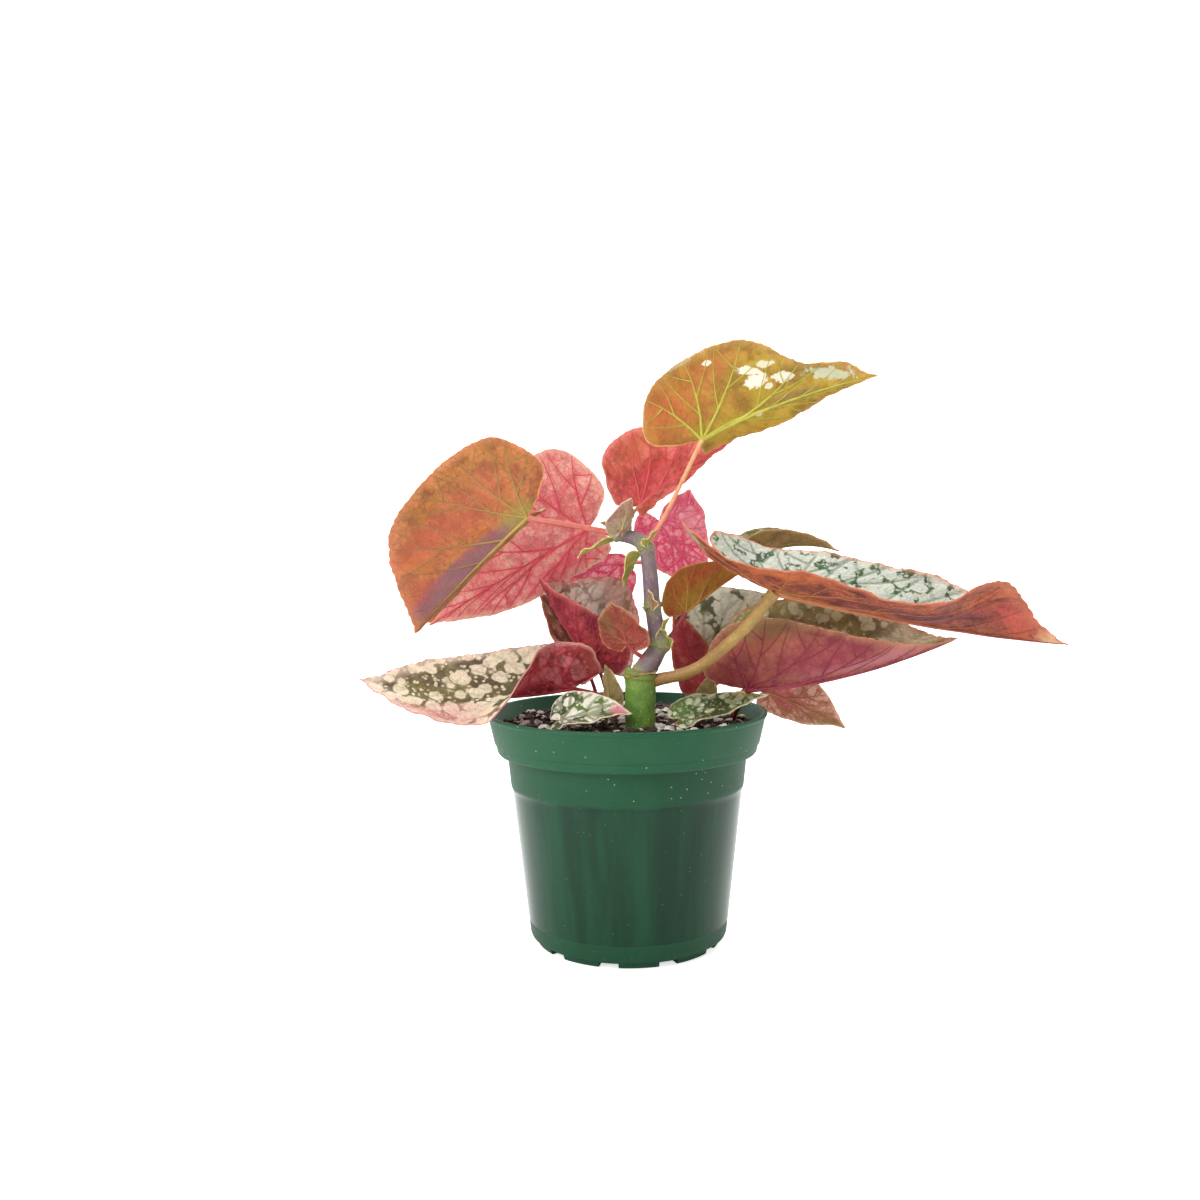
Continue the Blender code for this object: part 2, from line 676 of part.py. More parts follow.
def blade_solid(leaf):
    """Points and faces of the blade, with its thickness set off along the surface's own normals."""
    middle, spokes = blade_points(leaf, leaf.spokes, leaf.rings)
    faces = []
    for spoke in range(spokes - 1):
        faces.append((0, 2 + spoke, 1 + spoke))
        for ring in range(leaf.rings - 1):
            a = 1 + ring * spokes + spoke
            b = a + spokes
            faces.append((a, a + 1, b + 1))
            faces.append((a, b + 1, b))
    normals = [Vector() for _ in middle]
    for a, b, c in faces:
        normal = (middle[b] - middle[a]).cross(middle[c] - middle[a])
        for corner in (a, b, c):
            normals[corner] += normal
    offset = [normal.normalized() * (BLADE / 2) for normal in normals]
    count = len(middle)
    points = [p + o for p, o in zip(middle, offset)] + [p - o for p, o in zip(middle, offset)]
    solid = list(faces)
    solid += [(c + count, b + count, a + count) for a, b, c in faces]
    first = 1 + (leaf.rings - 1) * spokes
    rim = [0]
    rim += [1 + ring * spokes for ring in range(leaf.rings)]
    rim += [first + spoke for spoke in range(1, spokes)]
    rim += [spokes + ring * spokes for ring in range(leaf.rings - 2, -1, -1)]
    for a, b in zip(rim, rim[1:] + rim[:1]):
        solid.append((a, b, b + count))
        solid.append((a, b + count, a + count))
    return points, solid


def facing_out(points, faces):
    """The faces, turned round if together they enclose a negative volume."""
    volume = 0.0
    for face in faces:
        for b, c in zip(face[1:], face[2:]):
            volume += Vector(points[face[0]]).dot(Vector(points[b]).cross(Vector(points[c])))
    return faces if volume > 0 else [tuple(reversed(face)) for face in faces]


def stalk_tube(leaf, grow=0.0):
    """The stalk's tube from its root to just through the blade, grown by grow all round."""
    _, _, up, _ = leaf_frame(leaf)
    way = [Vector(place) * MM for place in leaf.stalk]
    way[0] += (way[0] - way[1]).normalized() * grow
    path = smooth_path([*way, Vector(leaf.joint) * MM + up * (BLADE * 0.8)], STALK_STEPS)
    count = len(path) - 1
    start, end = leaf.thick
    radii = [(start + (end - start) * step / count) * MM / 2 + grow for step in range(count + 1)]
    points, faces = tube(path, radii, STALK_SIDES)
    return points, facing_out(points, faces)


def build_leaf(leaf):
    """A leaf's blade and stalk as one solid, trimmed to sit against the cane where it grows from it."""
    points, faces = blade_solid(leaf)
    blade = object_from(leaf.name, points, facing_out(points, faces), leaf.colour)
    stalk = object_from("stalk", *stalk_tube(leaf), leaf.colour)
    apply_boolean(blade, [stalk], "UNION", "MANIFOLD")
    if not leaf.in_soil:
        for cutter in cane_pieces(GAP * 1.2):
            apply_boolean(blade, [cutter], "DIFFERENCE", "MANIFOLD")
    return blade


def main():
    """Builds the pot, the soil, the cane and every leaf."""
    clear_scene()
    build_pot()
    build_cane()
    standing = cane_pieces(GAP)
    for leaf in LEAVES:
        build_leaf(leaf)
        if leaf.in_soil:
            standing.append(object_from("hole", *stalk_tube(leaf, GAP), leaf.colour))
    build_soil(standing)


main()
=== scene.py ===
"""The potted cane begonia, dressed: fine leaves, cane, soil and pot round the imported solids.

Metres, +Z up, the origin in the middle of the pot's underside. Tables of places on the plant
are in millimetres, as it was measured, and colours are in the 0 to 255 of a colour picker.
"""

import logging
import math
import random
from dataclasses import dataclass, field, replace
from enum import Enum
from typing import Any

import bmesh
import bpy
import numpy as np
from mathutils import Matrix, Vector

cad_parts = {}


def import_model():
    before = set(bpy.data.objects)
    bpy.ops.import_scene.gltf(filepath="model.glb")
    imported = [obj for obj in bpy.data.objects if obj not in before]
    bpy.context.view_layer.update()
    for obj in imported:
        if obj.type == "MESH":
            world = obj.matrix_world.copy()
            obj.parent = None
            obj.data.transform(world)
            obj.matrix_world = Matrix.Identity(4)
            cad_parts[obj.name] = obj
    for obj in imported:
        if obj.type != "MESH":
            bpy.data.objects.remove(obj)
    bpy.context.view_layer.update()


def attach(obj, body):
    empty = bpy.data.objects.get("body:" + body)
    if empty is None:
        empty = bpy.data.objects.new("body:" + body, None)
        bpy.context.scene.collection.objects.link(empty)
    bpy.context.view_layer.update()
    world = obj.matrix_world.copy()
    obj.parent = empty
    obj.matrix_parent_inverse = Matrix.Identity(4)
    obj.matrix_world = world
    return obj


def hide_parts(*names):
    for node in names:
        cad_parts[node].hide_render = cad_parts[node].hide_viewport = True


LOG = logging.getLogger("begonia")
MM = 0.001
HALVES = (0.5, 0.5, 0.5)
Colour = tuple[int, int, int]
Place = tuple[float, float, float]
Array = np.ndarray
Material = bpy.types.Material
Piece = bpy.types.Object
Socket = bpy.types.NodeSocket


class Slot(Enum):
    """The record's material slots."""

    POT = "pot_green"
    SOIL = "soil"
    CANE = "cane"
    RED = "leaf_red"
    OLIVE = "leaf_olive"
    PINK = "leaf_pink"
    SPOTTED = "leaf_spotted"
    SILVER = "leaf_silver"
    SHEATH = "sheath"


class Face(Enum):
    """Which faces of a blade a tint lies on."""

    UPPER = "upper"
    UNDER = "under"
    BOTH = "both"


class Effect(Enum):
    """The shader effects that several materials share."""

    MOTTLE = "Mottle"
    BLOTCHES = "Blotches"
    VEIN_NET = "Vein Net"
    GRAIN = "Grain"
    DUST = "Dust"


def linear(colour: Colour) -> tuple[float, ...]:
    """A colour picker's colour as the linear values that a shader takes, with a full alpha."""
    shares = [value / 255 for value in colour]
    return (*(s / 12.92 if s <= 0.04045 else ((s + 0.055) / 1.055) ** 2.4 for s in shares), 1.0)


def darkened(colour: Colour, share: float) -> tuple[float, ...]:
    """The linear values of a colour whose picker values are taken down to a share."""
    return linear(tuple(int(value * share) for value in colour))


class Wiring:
    """Adds nodes to one node tree and joins them up as they are made."""

    def __init__(self, tree: bpy.types.NodeTree) -> None:
        """Keeps the tree that the nodes go into."""
        self.tree = tree

    def add(self, kind: str, inputs: dict[Any, Any] | None = None, **options: Any) -> bpy.types.Node:
        """Adds a node, sets its options, and links or sets its inputs.

        Args:
            kind: The node's type, without its ShaderNode prefix.
            inputs: Sockets to link or values to set, by the input's name or number.
            options: The node's own settings.

        Returns:
            The new node.
        """
        node = self.tree.nodes.new("ShaderNode" + kind)
        for name, value in options.items():
            setattr(node, name, value)
        for name, value in (inputs or {}).items():
            self.fill(node.inputs[name], value)
        return node

    def fill(self, socket: Socket, value: Any) -> None:
        """Links a socket to the input, or sets the input to a value.

        Args:
            socket: The input.
            value: The socket or the value.
        """
        if isinstance(value, Socket):
            self.tree.links.new(value, socket)
        else:
            socket.default_value = value

    def effect(self, effect: Effect, inputs: dict[str, Any]) -> Any:
        """Places a shared effect with this material's own values.

        Args:
            effect: The effect.
            inputs: Sockets or values, by the input's name.

        Returns:
            Its outputs, by name.
        """
        node = self.tree.nodes.new("ShaderNodeGroup")
        node.node_tree = Effects.group(effect)
        for name, value in inputs.items():
            self.fill(node.inputs[name], value)
        return node.outputs

    def mix(self, low: Any, high: Any, share: Any) -> Socket:
        """A colour between two others.

        Args:
            low: The colour at a share of 0: a socket, three picker values or four linear ones.
            high: The colour at a share of 1, in the same way.
            share: How much of the second colour there is.

        Returns:
            The mixed colour's socket.
        """
        picked = [isinstance(end, tuple) and len(end) == 3 for end in (low, high)]
        ends = [linear(end) if chosen else end for end, chosen in zip((low, high), picked)]
        return self.add("Mix", {0: share, 6: ends[0], 7: ends[1]}, data_type="RGBA").outputs[2]

    def sum(self, operation: str, *values: Any) -> Socket:
        """The result of a Math node on one, two or three values."""
        return self.add("Math", dict(enumerate(values)), operation=operation).outputs[0]

    def times(self, first: Any, second: Any) -> Socket:
        """The product of two values."""
        return self.sum("MULTIPLY", first, second)

    def vector(self, operation: str, *values: Any, scale: Any = None) -> Socket:
        """The result of a Vector Math node.

        Args:
            operation: What the node does.
            values: One to three vectors.
            scale: The scale, where the node takes one.

        Returns:
            The result's socket.
        """
        inputs = dict(enumerate(values))
        if scale is not None:
            inputs["Scale"] = scale
        return self.add("VectorMath", inputs, operation=operation).outputs[0]

    def step(self, value: Any, low: Any, high: Any, start: float = 0.0, end: float = 1.0) -> Socket:
        """A smooth step of a value, from the start below low to the end above high."""
        inputs = dict(enumerate((value, low, high, start, end)))
        return self.add("MapRange", inputs, interpolation_type="SMOOTHSTEP").outputs[0]

    def noise(self, vector: Any, scale: Any, detail: float = 3.0, rough: float = 0.55) -> Any:
        """A noise texture's outputs, its value first and its colour second."""
        inputs = {"Vector": vector, "Scale": scale, "Detail": detail, "Roughness": rough}
        return self.add("TexNoise", inputs).outputs

    def cells(self, vector: Any, scale: Any, feature: str = "F1") -> Any:
        """A Voronoi texture's outputs."""
        return self.add("TexVoronoi", {"Vector": vector, "Scale": scale}, feature=feature).outputs

    def jostle(self, vector: Any, scale: Any, ratio: float, reach: Any) -> Socket:
        """A vector moved about unevenly, so that what is drawn on it has no straight lines.

        Args:
            vector: The vector.
            scale: The scale of the pattern that is drawn on it.
            ratio: How much finer the unevenness is than the pattern.
            reach: How far it moves, in lengths of the pattern.

        Returns:
            The moved vector's socket.
        """
        wobble = self.noise(vector, self.times(scale, ratio), 2.0)[1]
        away = self.vector("SUBTRACT", wobble, HALVES)
        shift = self.vector("SCALE", away, scale=self.sum("DIVIDE", reach, scale))
        return self.vector("ADD", vector, shift)

    def reading(self, name: str, output: str = "Fac") -> Socket:
        """A mesh's own attribute of that name."""
        return self.add("Attribute", attribute_name=name).outputs[output]

    def place(self) -> Socket:
        """The place on the object, in metres."""
        return self.add("TexCoord").outputs["Object"]

    def part_of(self, vector: Any, axis: int) -> Socket:
        """One of a vector's three numbers."""
        return self.add("SeparateXYZ", {0: vector}).outputs[axis]


class Effects:
    """Builds each shared effect once, as a node group."""

    @classmethod
    def group(cls, effect: Effect) -> bpy.types.NodeTree:
        """The node group of an effect, built at its first use.

        Args:
            effect: The effect.

        Returns:
            The node group.
        """
        made = bpy.data.node_groups.get(effect.value)
        if made is None:
            made = getattr(cls, effect.name.lower())()
        return made

    @staticmethod
    def start(effect: Effect, inputs: dict[str, Any], outputs: tuple[str, ...]) -> tuple[Wiring, Any, Any]:
        """Makes an empty group with its sockets.

        Args:
            effect: Which effect it is.
            inputs: The names of its inputs and their first values, None for a vector.
            outputs: The names of its outputs, all single values.

        Returns:
            The group's wiring, its input node's outputs and its output node's inputs.
        """
        tree = bpy.data.node_groups.new(effect.value, "ShaderNodeTree")
        for name, value in inputs.items():
            kind = "NodeSocketVector" if value is None else "NodeSocketFloat"
            socket = tree.interface.new_socket(name, in_out="INPUT", socket_type=kind)
            if value is not None:
                socket.default_value = value
        for name in outputs:
            tree.interface.new_socket(name, in_out="OUTPUT", socket_type="NodeSocketFloat")
        taken = tree.nodes.new("NodeGroupInput").outputs
        given = tree.nodes.new("NodeGroupOutput").inputs
        return Wiring(tree), taken, given

    @classmethod
    def mottle(cls) -> bpy.types.NodeTree:
        """Soft patches of two tones, and a finer speckle of its own.

        Returns:
            The node group.
        """
        wiring, taken, given = cls.start(
            Effect.MOTTLE, {"Vector": None, "Scale": 1.0, "Softness": 0.15}, ("Patch", "Speckle")
        )
        broad = wiring.noise(taken["Vector"], taken["Scale"], 4.0, 0.6)[0]
        low = wiring.sum("SUBTRACT", 0.5, taken["Softness"])
        high = wiring.sum("ADD", 0.5, taken["Softness"])
        wiring.fill(given["Patch"], wiring.step(broad, low, high))
        finer = wiring.times(taken["Scale"], 9.0)
        small = wiring.noise(taken["Vector"], finer, 2.0, 0.6)[0]
        wiring.fill(given["Speckle"], wiring.step(small, 0.34, 0.7))
        return wiring.tree

    @classmethod
    def blotches(cls) -> bpy.types.NodeTree:
        """Rounded spots of two sizes that run into each other as the cover grows.

        Returns:
            The node group.
        """
        wiring, taken, given = cls.start(
            Effect.BLOTCHES,
            {"Vector": None, "Scale": 0.2, "Cover": 0.5, "Keep": 1.0, "Wobble": 0.5}, ("Mask",),
        )
        moved = wiring.jostle(taken["Vector"], taken["Scale"], 2.2, taken["Wobble"])
        edge = wiring.sum("MULTIPLY_ADD", taken["Cover"], 0.5, 0.2)
        wide = wiring.cells(moved, taken["Scale"])["Distance"]
        small = wiring.cells(moved, wiring.times(taken["Scale"], 2.6))["Distance"]
        first = wiring.step(wide, wiring.sum("SUBTRACT", edge, 0.06), wiring.sum("ADD", edge, 0.05), 1.0, 0.0)
        low = wiring.times(edge, 0.62)
        start, end = wiring.sum("SUBTRACT", low, 0.05), wiring.sum("ADD", low, 0.05)
        second = wiring.step(small, start, end, 0.85, 0.0)
        both = wiring.sum("MAXIMUM", first, second)
        wiring.fill(given["Mask"], wiring.times(both, taken["Keep"]))
        return wiring.tree

    @classmethod
    def vein_net(cls) -> bpy.types.NodeTree:
        """The net of the smallest veins, with the little cushions that it leaves between.

        Returns:
            The node group.
        """
        wiring, taken, given = cls.start(
            Effect.VEIN_NET, {"Vector": None, "Scale": 0.5, "Width": 0.06}, ("Line", "Cushion")
        )
        moved = wiring.jostle(taken["Vector"], taken["Scale"], 1.4, 0.5)
        coarse = wiring.cells(moved, taken["Scale"], "DISTANCE_TO_EDGE")[0]
        fine = wiring.cells(moved, wiring.times(taken["Scale"], 2.7), "DISTANCE_TO_EDGE")[0]
        line = wiring.step(coarse, 0.0, taken["Width"], 1.0, 0.0)
        thread = wiring.step(fine, 0.0, taken["Width"], 0.45, 0.0)
        wiring.fill(given["Line"], wiring.sum("MAXIMUM", line, thread))
        both = wiring.sum("MULTIPLY_ADD", wiring.step(fine, 0.0, 0.3), 0.4, wiring.step(coarse, 0.0, 0.3))
        wiring.fill(given["Cushion"], both)
        return wiring.tree

    @classmethod
    def grain(cls) -> bpy.types.NodeTree:
        """The fine grain of a surface, as a height and as a speckle.

        Returns:
            The node group.
        """
        wiring, taken, given = cls.start(Effect.GRAIN, {"Vector": None, "Scale": 3.0}, ("Height", "Speckle"))
        rough = wiring.noise(taken["Vector"], taken["Scale"], 5.0, 0.65)[0]
        pores = wiring.cells(taken["Vector"], wiring.times(taken["Scale"], 1.3))["Distance"]
        wiring.fill(given["Height"], wiring.sum("MULTIPLY_ADD", pores, 0.5, rough))
        wiring.fill(given["Speckle"], wiring.step(rough, 0.36, 0.66))
        return wiring.tree

    @classmethod
    def dust(cls) -> bpy.types.NodeTree:
        """Scattered specks and a thin uneven film.

        Returns:
            The node group.
        """
        wiring, taken, given = cls.start(
            Effect.DUST, {"Vector": None, "Scale": 900.0, "Amount": 0.3}, ("Specks", "Film")
        )
        crumbs = wiring.cells(taken["Vector"], taken["Scale"])
        chosen = wiring.add("SeparateColor", {0: crumbs["Color"]}).outputs[0]
        limit = wiring.sum("SUBTRACT", 1.0, wiring.times(taken["Amount"], 0.5))
        there = wiring.sum("GREATER_THAN", chosen, limit)
        near = wiring.step(crumbs["Distance"], 0.08, 0.3, 1.0, 0.0)
        wiring.fill(given["Specks"], wiring.times(there, near))
        cloud = wiring.noise(taken["Vector"], wiring.times(taken["Scale"], 0.09), 6.0, 0.7)[0]
        film = wiring.step(cloud, 0.38, 0.75)
        wiring.fill(given["Film"], wiring.times(film, taken["Amount"]))
        return wiring.tree


def begin_material(name: str) -> tuple[Material, Wiring, bpy.types.Node]:
    """A new material with its Principled shader.

    Args:
        name: What the material is called.

    Returns:
        The material, its wiring and its Principled node.
    """
    made = bpy.data.materials.new(name)
    made.use_nodes = True
    return made, Wiring(made.node_tree), made.node_tree.nodes["Principled BSDF"]


def set_surface(
    wiring: Wiring, shader: bpy.types.Node, colour: Any, rough: Any, height: Any, depth: float,
    specular: float = 0.5,
) -> None:
    """Sets what a material's Principled shader shows.

    Args:
        wiring: The material's wiring.
        shader: Its Principled node.
        colour: The colour's socket.
        rough: The roughness, a socket or a value.
        height: The relief's socket, about 0 to 1.
        depth: How deep the relief is, in metres.
        specular: How strongly it reflects, 0.5 being usual.
    """
    wiring.fill(shader.inputs["Base Color"], colour)
    wiring.fill(shader.inputs["Roughness"], rough)
    relief = wiring.add("Bump", {"Height": height, "Distance": depth, "Strength": 1.0})
    wiring.fill(shader.inputs["Normal"], relief.outputs[0])
    shader.inputs["Specular IOR Level"].default_value = specular


def let_light_through(made: Material, wiring: Wiring, colour: Any, share: float) -> None:
    """Mixes a translucent shader into a thin material, so that light from behind shows in it.

    Args:
        made: The material.
        wiring: Its wiring.
        colour: The colour that the light takes, a socket or linear values.
        share: How much of the surface lets light through.
    """
    shader = made.node_tree.nodes["Principled BSDF"]
    glow = wiring.add("BsdfTranslucent", {"Color": colour})
    both = wiring.add("MixShader", {0: share, 1: shader.outputs[0], 2: glow.outputs[0]})
    out = made.node_tree.nodes["Material Output"]
    wiring.fill(out.inputs["Surface"], both.outputs[0])


@dataclass(frozen=True)
class Tint:
    """A patch of colour on a blade, a few of them painted shade and painted highlights: its middle and half
    widths in mm of the flat leaf, x to the tip.

    turn is in degrees, soft is the share of it that fades out, and ragged how uneven its edge is.
    """

    x: float
    y: float
    wide: float
    high: float
    colour: Colour
    strength: float = 0.5
    soft: float = 0.9
    turn: float = 0.0
    ragged: float = 0.5
    face: Face = Face.UNDER


@dataclass(frozen=True)
class LeafFinish:
    """The colours and markings of a leaf's two faces.

    Lengths are in mm. cover is the share of the upper face under pale blotches, show is how far
    they show through underneath, and glow is the share of light that comes through the blade.
    """

    name: str
    green: Colour = (70, 96, 66)
    silver: Colour = (206, 212, 190)
    under: Colour = (190, 100, 85)
    shade: Colour = (150, 75, 60)
    heart: Colour = (160, 130, 70)
    vein: Colour = (175, 60, 60)
    edge: Colour = (226, 168, 140)
    stalk: Colour = (190, 120, 95)
    stalk_end: Colour = (190, 120, 95)
    pale: Colour = (232, 170, 160)
    cover: float = 0.5
    spot: float = 6.0
    show: float = 0.3
    net: float = 0.4
    dark: float = 0.3
    glow: float = 0.4
    keep: float = 0.85
    wobble: float = 0.45
    rim_from: float = 0.93
    # How much painted shade darkens the underside's folds, drawn as dark lengthwise streaks.
    crease_shade: float = 0.0
    stain: float = 0.35
    tints: tuple[Tint, ...] = ()

    def tinted(self, wiring: Wiring, colour: Any, face: Face) -> Any:
        """The colour with this face's own patches of colour over it.

        Args:
            wiring: The material's wiring.
            colour: The colour's socket.
            face: Which face it is.

        Returns:
            The new colour's socket.
        """
        chosen = [tint for tint in self.tints if tint.face in (face, Face.BOTH)]
        if not chosen:
            return colour
        plan = wiring.reading("plan", "Vector")
        away = wiring.vector("SUBTRACT", wiring.noise(plan, 0.42, 4.0, 0.6)[1], HALVES)
        for tint in chosen:
            inputs = {
                "Vector": plan, "Location": (tint.x, tint.y, 0.0), "Scale": (tint.wide, tint.high, 1.0),
                "Rotation": (0.0, 0.0, math.radians(tint.turn)),
            }
            mapped = wiring.add("Mapping", inputs, vector_type="TEXTURE").outputs[0]
            spread = (tint.ragged * 2.4, tint.ragged * 2.4, 0.0)
            moved = wiring.vector("MULTIPLY_ADD", away, spread, mapped)
            reach = wiring.add("VectorMath", {0: moved}, operation="LENGTH").outputs["Value"]
            share = wiring.step(reach, 1 - tint.soft, 1 + tint.soft * 0.3, tint.strength, 0.0)
            colour = wiring.mix(colour, tint.colour, share)
        return colour

    def markings(self, wiring: Wiring) -> tuple[Any, Any, Any, Any, Any]:
        """The masks that both faces of a blade share.

        Args:
            wiring: The material's wiring.

        Returns:
            The blotches, the net's lines and cushions, and the outputs of the mottle and the grain.
        """
        flat = wiring.reading("flat", "Vector")
        keep = wiring.sum("SUBTRACT", 1.0, wiring.step(wiring.reading("vein"), 0.3, 0.85, 0.0, self.keep))
        spots = {"Scale": 1 / self.spot, "Cover": self.cover, "Keep": keep, "Wobble": self.wobble}
        blotches = wiring.effect(Effect.BLOTCHES, {"Vector": flat, **spots})["Mask"]
        net = wiring.effect(Effect.VEIN_NET, {"Vector": flat, "Scale": 0.36, "Width": 0.085})
        mottle = wiring.effect(Effect.MOTTLE, {"Vector": flat, "Scale": 0.075, "Softness": 0.085})
        grain = wiring.effect(Effect.GRAIN, {"Vector": flat, "Scale": 2.6})
        return blotches, net["Line"], net["Cushion"], mottle, grain

    def upper_face(self) -> Material:
        """The upper side: green with silver blotches between the veins.

        Returns:
            The material.
        """
        made, wiring, shader = begin_material(self.name + "_upper")
        blotches, line, cushion, mottle, grain = self.markings(wiring)
        base = wiring.mix(darkened(self.green, 0.62), self.green, mottle["Patch"])
        pale = wiring.mix(self.silver, darkened(self.silver, 0.93), mottle["Speckle"])
        speckled = wiring.times(blotches, wiring.step(grain["Speckle"], 0.0, 0.6, 0.82, 1.0))
        colour = wiring.mix(base, pale, speckled)
        colour = wiring.mix(colour, self.green, wiring.times(line, 0.3 * self.net))
        colour = self.tinted(wiring, colour, Face.UPPER)
        rim = wiring.step(wiring.reading("rim"), self.rim_from, 0.999)
        colour = wiring.mix(colour, self.edge, wiring.times(rim, 0.6))
        rough = wiring.step(grain["Speckle"], 0.0, 1.0, 0.38, 0.54)
        height = wiring.sum("MULTIPLY_ADD", grain["Height"], 0.25, cushion)
        set_surface(wiring, shader, colour, rough, height, 0.22 * MM, 0.35)
        let_light_through(made, wiring, linear((240, 228, 218)), self.glow * 0.7)
        return made

    def under_face(self) -> Material:
        """The underside: mottled and stained, lighter where the blotches show, tinted by the veins, with
        painted shade in its folds where a leaf asks for it.

        Returns:
            The material.
        """
        made, wiring, shader = begin_material(self.name + "_under")
        blotches, line, cushion, mottle, grain = self.markings(wiring)
        base = wiring.mix(self.under, self.shade, mottle["Patch"])
        base = wiring.mix(base, self.heart, wiring.times(wiring.reading("warm"), 0.7))
        base = wiring.mix(base, self.pale, wiring.times(blotches, self.show))
        base = wiring.mix(base, self.vein, wiring.times(line, self.net))
        fleck = wiring.times(wiring.step(mottle["Speckle"], 0.45, 1.0), self.dark * 0.5)
        # A darker tone for the flecks, and for the painted shade in the folds below.
        shade = darkened(self.shade, 0.55)
        base = wiring.mix(base, shade, wiring.times(fleck, wiring.step(line, 0.0, 1.0, 0.6, 1.0)))
        flat = wiring.reading("flat", "Vector")
        stains = wiring.step(wiring.noise(flat, 0.15, 6.0, 0.7)[0], 0.48, 0.6)
        stained = darkened(self.shade, 0.68)
        base = wiring.mix(base, stained, wiring.times(stains, self.stain))
        # Painted shade: dark lengthwise streaks that stand for the shadow in the blade's folds.
        if self.crease_shade:
            drawn = wiring.vector("MULTIPLY", flat, (0.13, 1.0, 1.0))
            painted_creases = wiring.step(wiring.noise(drawn, 0.3, 5.0, 0.6)[0], 0.52, 0.68)
            base = wiring.mix(base, shade, wiring.times(painted_creases, self.crease_shade))
        base = self.tinted(wiring, base, Face.UNDER)
        rim = wiring.step(wiring.reading("rim"), 0.9, 1.0)
        colour = wiring.mix(base, self.edge, wiring.times(rim, 0.35))
        rough = wiring.step(grain["Speckle"], 0.0, 1.0, 0.42, 0.6)
        relief = wiring.sum("MULTIPLY_ADD", line, 0.5, wiring.times(cushion, -0.25))
        height = wiring.sum("MULTIPLY_ADD", grain["Height"], 0.35, relief)
        set_surface(wiring, shader, colour, rough, height, 0.2 * MM, 0.25)
        let_light_through(made, wiring, colour, self.glow)
        return made

    def plain_part(self, part: str, start: Colour, end: Colour, rough: float) -> Material:
        """A margin, vein or stalk: one colour running into another, finely streaked.

        Args:
            part: What it is, for the material's name.
            start: Its colour at the root or the joint.
            end: Its colour at the far end.
            rough: Its roughness.

        Returns:
            The material.
        """
        made, wiring, shader = begin_material(f"{self.name}_{part}")
        flat = wiring.reading("flat", "Vector")
        grain = wiring.effect(Effect.GRAIN, {"Vector": flat, "Scale": 1.6})
        mottle = wiring.effect(Effect.MOTTLE, {"Vector": flat, "Scale": 0.3, "Softness": 0.2})
        colour = wiring.mix(start, end, wiring.reading("along"))
        darker = wiring.mix(colour, (70, 25, 20), wiring.times(mottle["Patch"], 0.25))
        paler = wiring.times(wiring.step(grain["Speckle"], 0.6, 1.0), 0.1)
        streaked = wiring.mix(darker, (240, 215, 180), paler)
        roughened = wiring.step(grain["Speckle"], 0.0, 1.0, rough, rough + 0.15)
        set_surface(wiring, shader, streaked, roughened, grain["Height"], 0.12 * MM, 0.35)
        return made

    def dress(self) -> list[Material]:
        """The five materials of a leaf.

        Returns:
            The materials, in the order that its faces count them.
        """
        welt = tuple((a + b) // 2 for a, b in zip(self.edge, self.under))
        return [
            self.upper_face(),
            self.under_face(),
            self.plain_part("margin", welt, welt, 0.5),
            self.plain_part("vein", self.heart, self.vein, 0.42),
            self.plain_part("stalk", self.stalk, self.stalk_end, 0.4),
        ]


@dataclass(frozen=True)
class Half:
    """One side of a blade, in mm and degrees.

    fold says how far it is raised at the end of the lobe, at the stalk, half way along and at
    the tip, curl how much more it has turned at the margin, taper how slim it is towards the
    tip, and swell where it bulges and by what share. veins is how many large ones it has.
    """

    width: float
    lobe: float
    fold: tuple[float, ...] = (8, 8, 8, 8)
    curl: float = 0.0
    taper: float = 1.0
    swell: tuple[float, float] = (0.5, 0.0)
    veins: int = 3


# Half a blade from the tip back to the notch: along as a share of the length or the lobe, and across.
OUTLINE = np.array([
    (1.0, 0.0), (0.93, 0.07), (0.82, 0.27), (0.7, 0.49), (0.55, 0.74), (0.32, 0.95),
    (0.04, 1.0), (-0.5, 0.9), (-0.92, 0.58), (-0.98, 0.28), (-0.46, 0.08),
])
SWELL_SPAN = 0.12
UPPER, UNDER, MARGIN, VEIN, STALK = range(5)


def curve_through(points: Array, steps: int) -> Array:
    """A Catmull-Rom curve.

    Args:
        points: The points that it goes through, one a row.
        steps: Points to each span.

    Returns:
        The curve's points.
    """
    ends = np.vstack([2 * points[0] - points[1], points, 2 * points[-1] - points[-2]])
    t = np.arange(steps)[:, None] / steps
    spans = []
    for before, start, end, after in zip(ends, ends[1:], ends[2:], ends[3:]):
        square = (2 * before - 5 * start + 4 * end - after) * t ** 2
        cube = (3 * start - before - 3 * end + after) * t ** 3
        spans.append(0.5 * (2 * start + (end - before) * t + square + cube))
    return np.vstack([*spans, points[-1:]])


def smooth_step(values: Array) -> Array:
    """The values held between 0 and 1 and eased at both ends."""
    held = np.clip(values, 0.0, 1.0)
    return held * held * (3 - 2 * held)


def unit(vectors: Array) -> Array:
    """The vectors at length 1."""
    return vectors / np.maximum(np.linalg.norm(vectors, axis=-1, keepdims=True), 1e-12)


def in_scene(name: str, data: Any) -> Piece:
    """Makes an object and links it to the scene.

    Args:
        name: What it is called.
        data: Its mesh, lamp or camera.

    Returns:
        The object.
    """
    made = bpy.data.objects.new(name, data)
    bpy.context.scene.collection.objects.link(made)
    return made


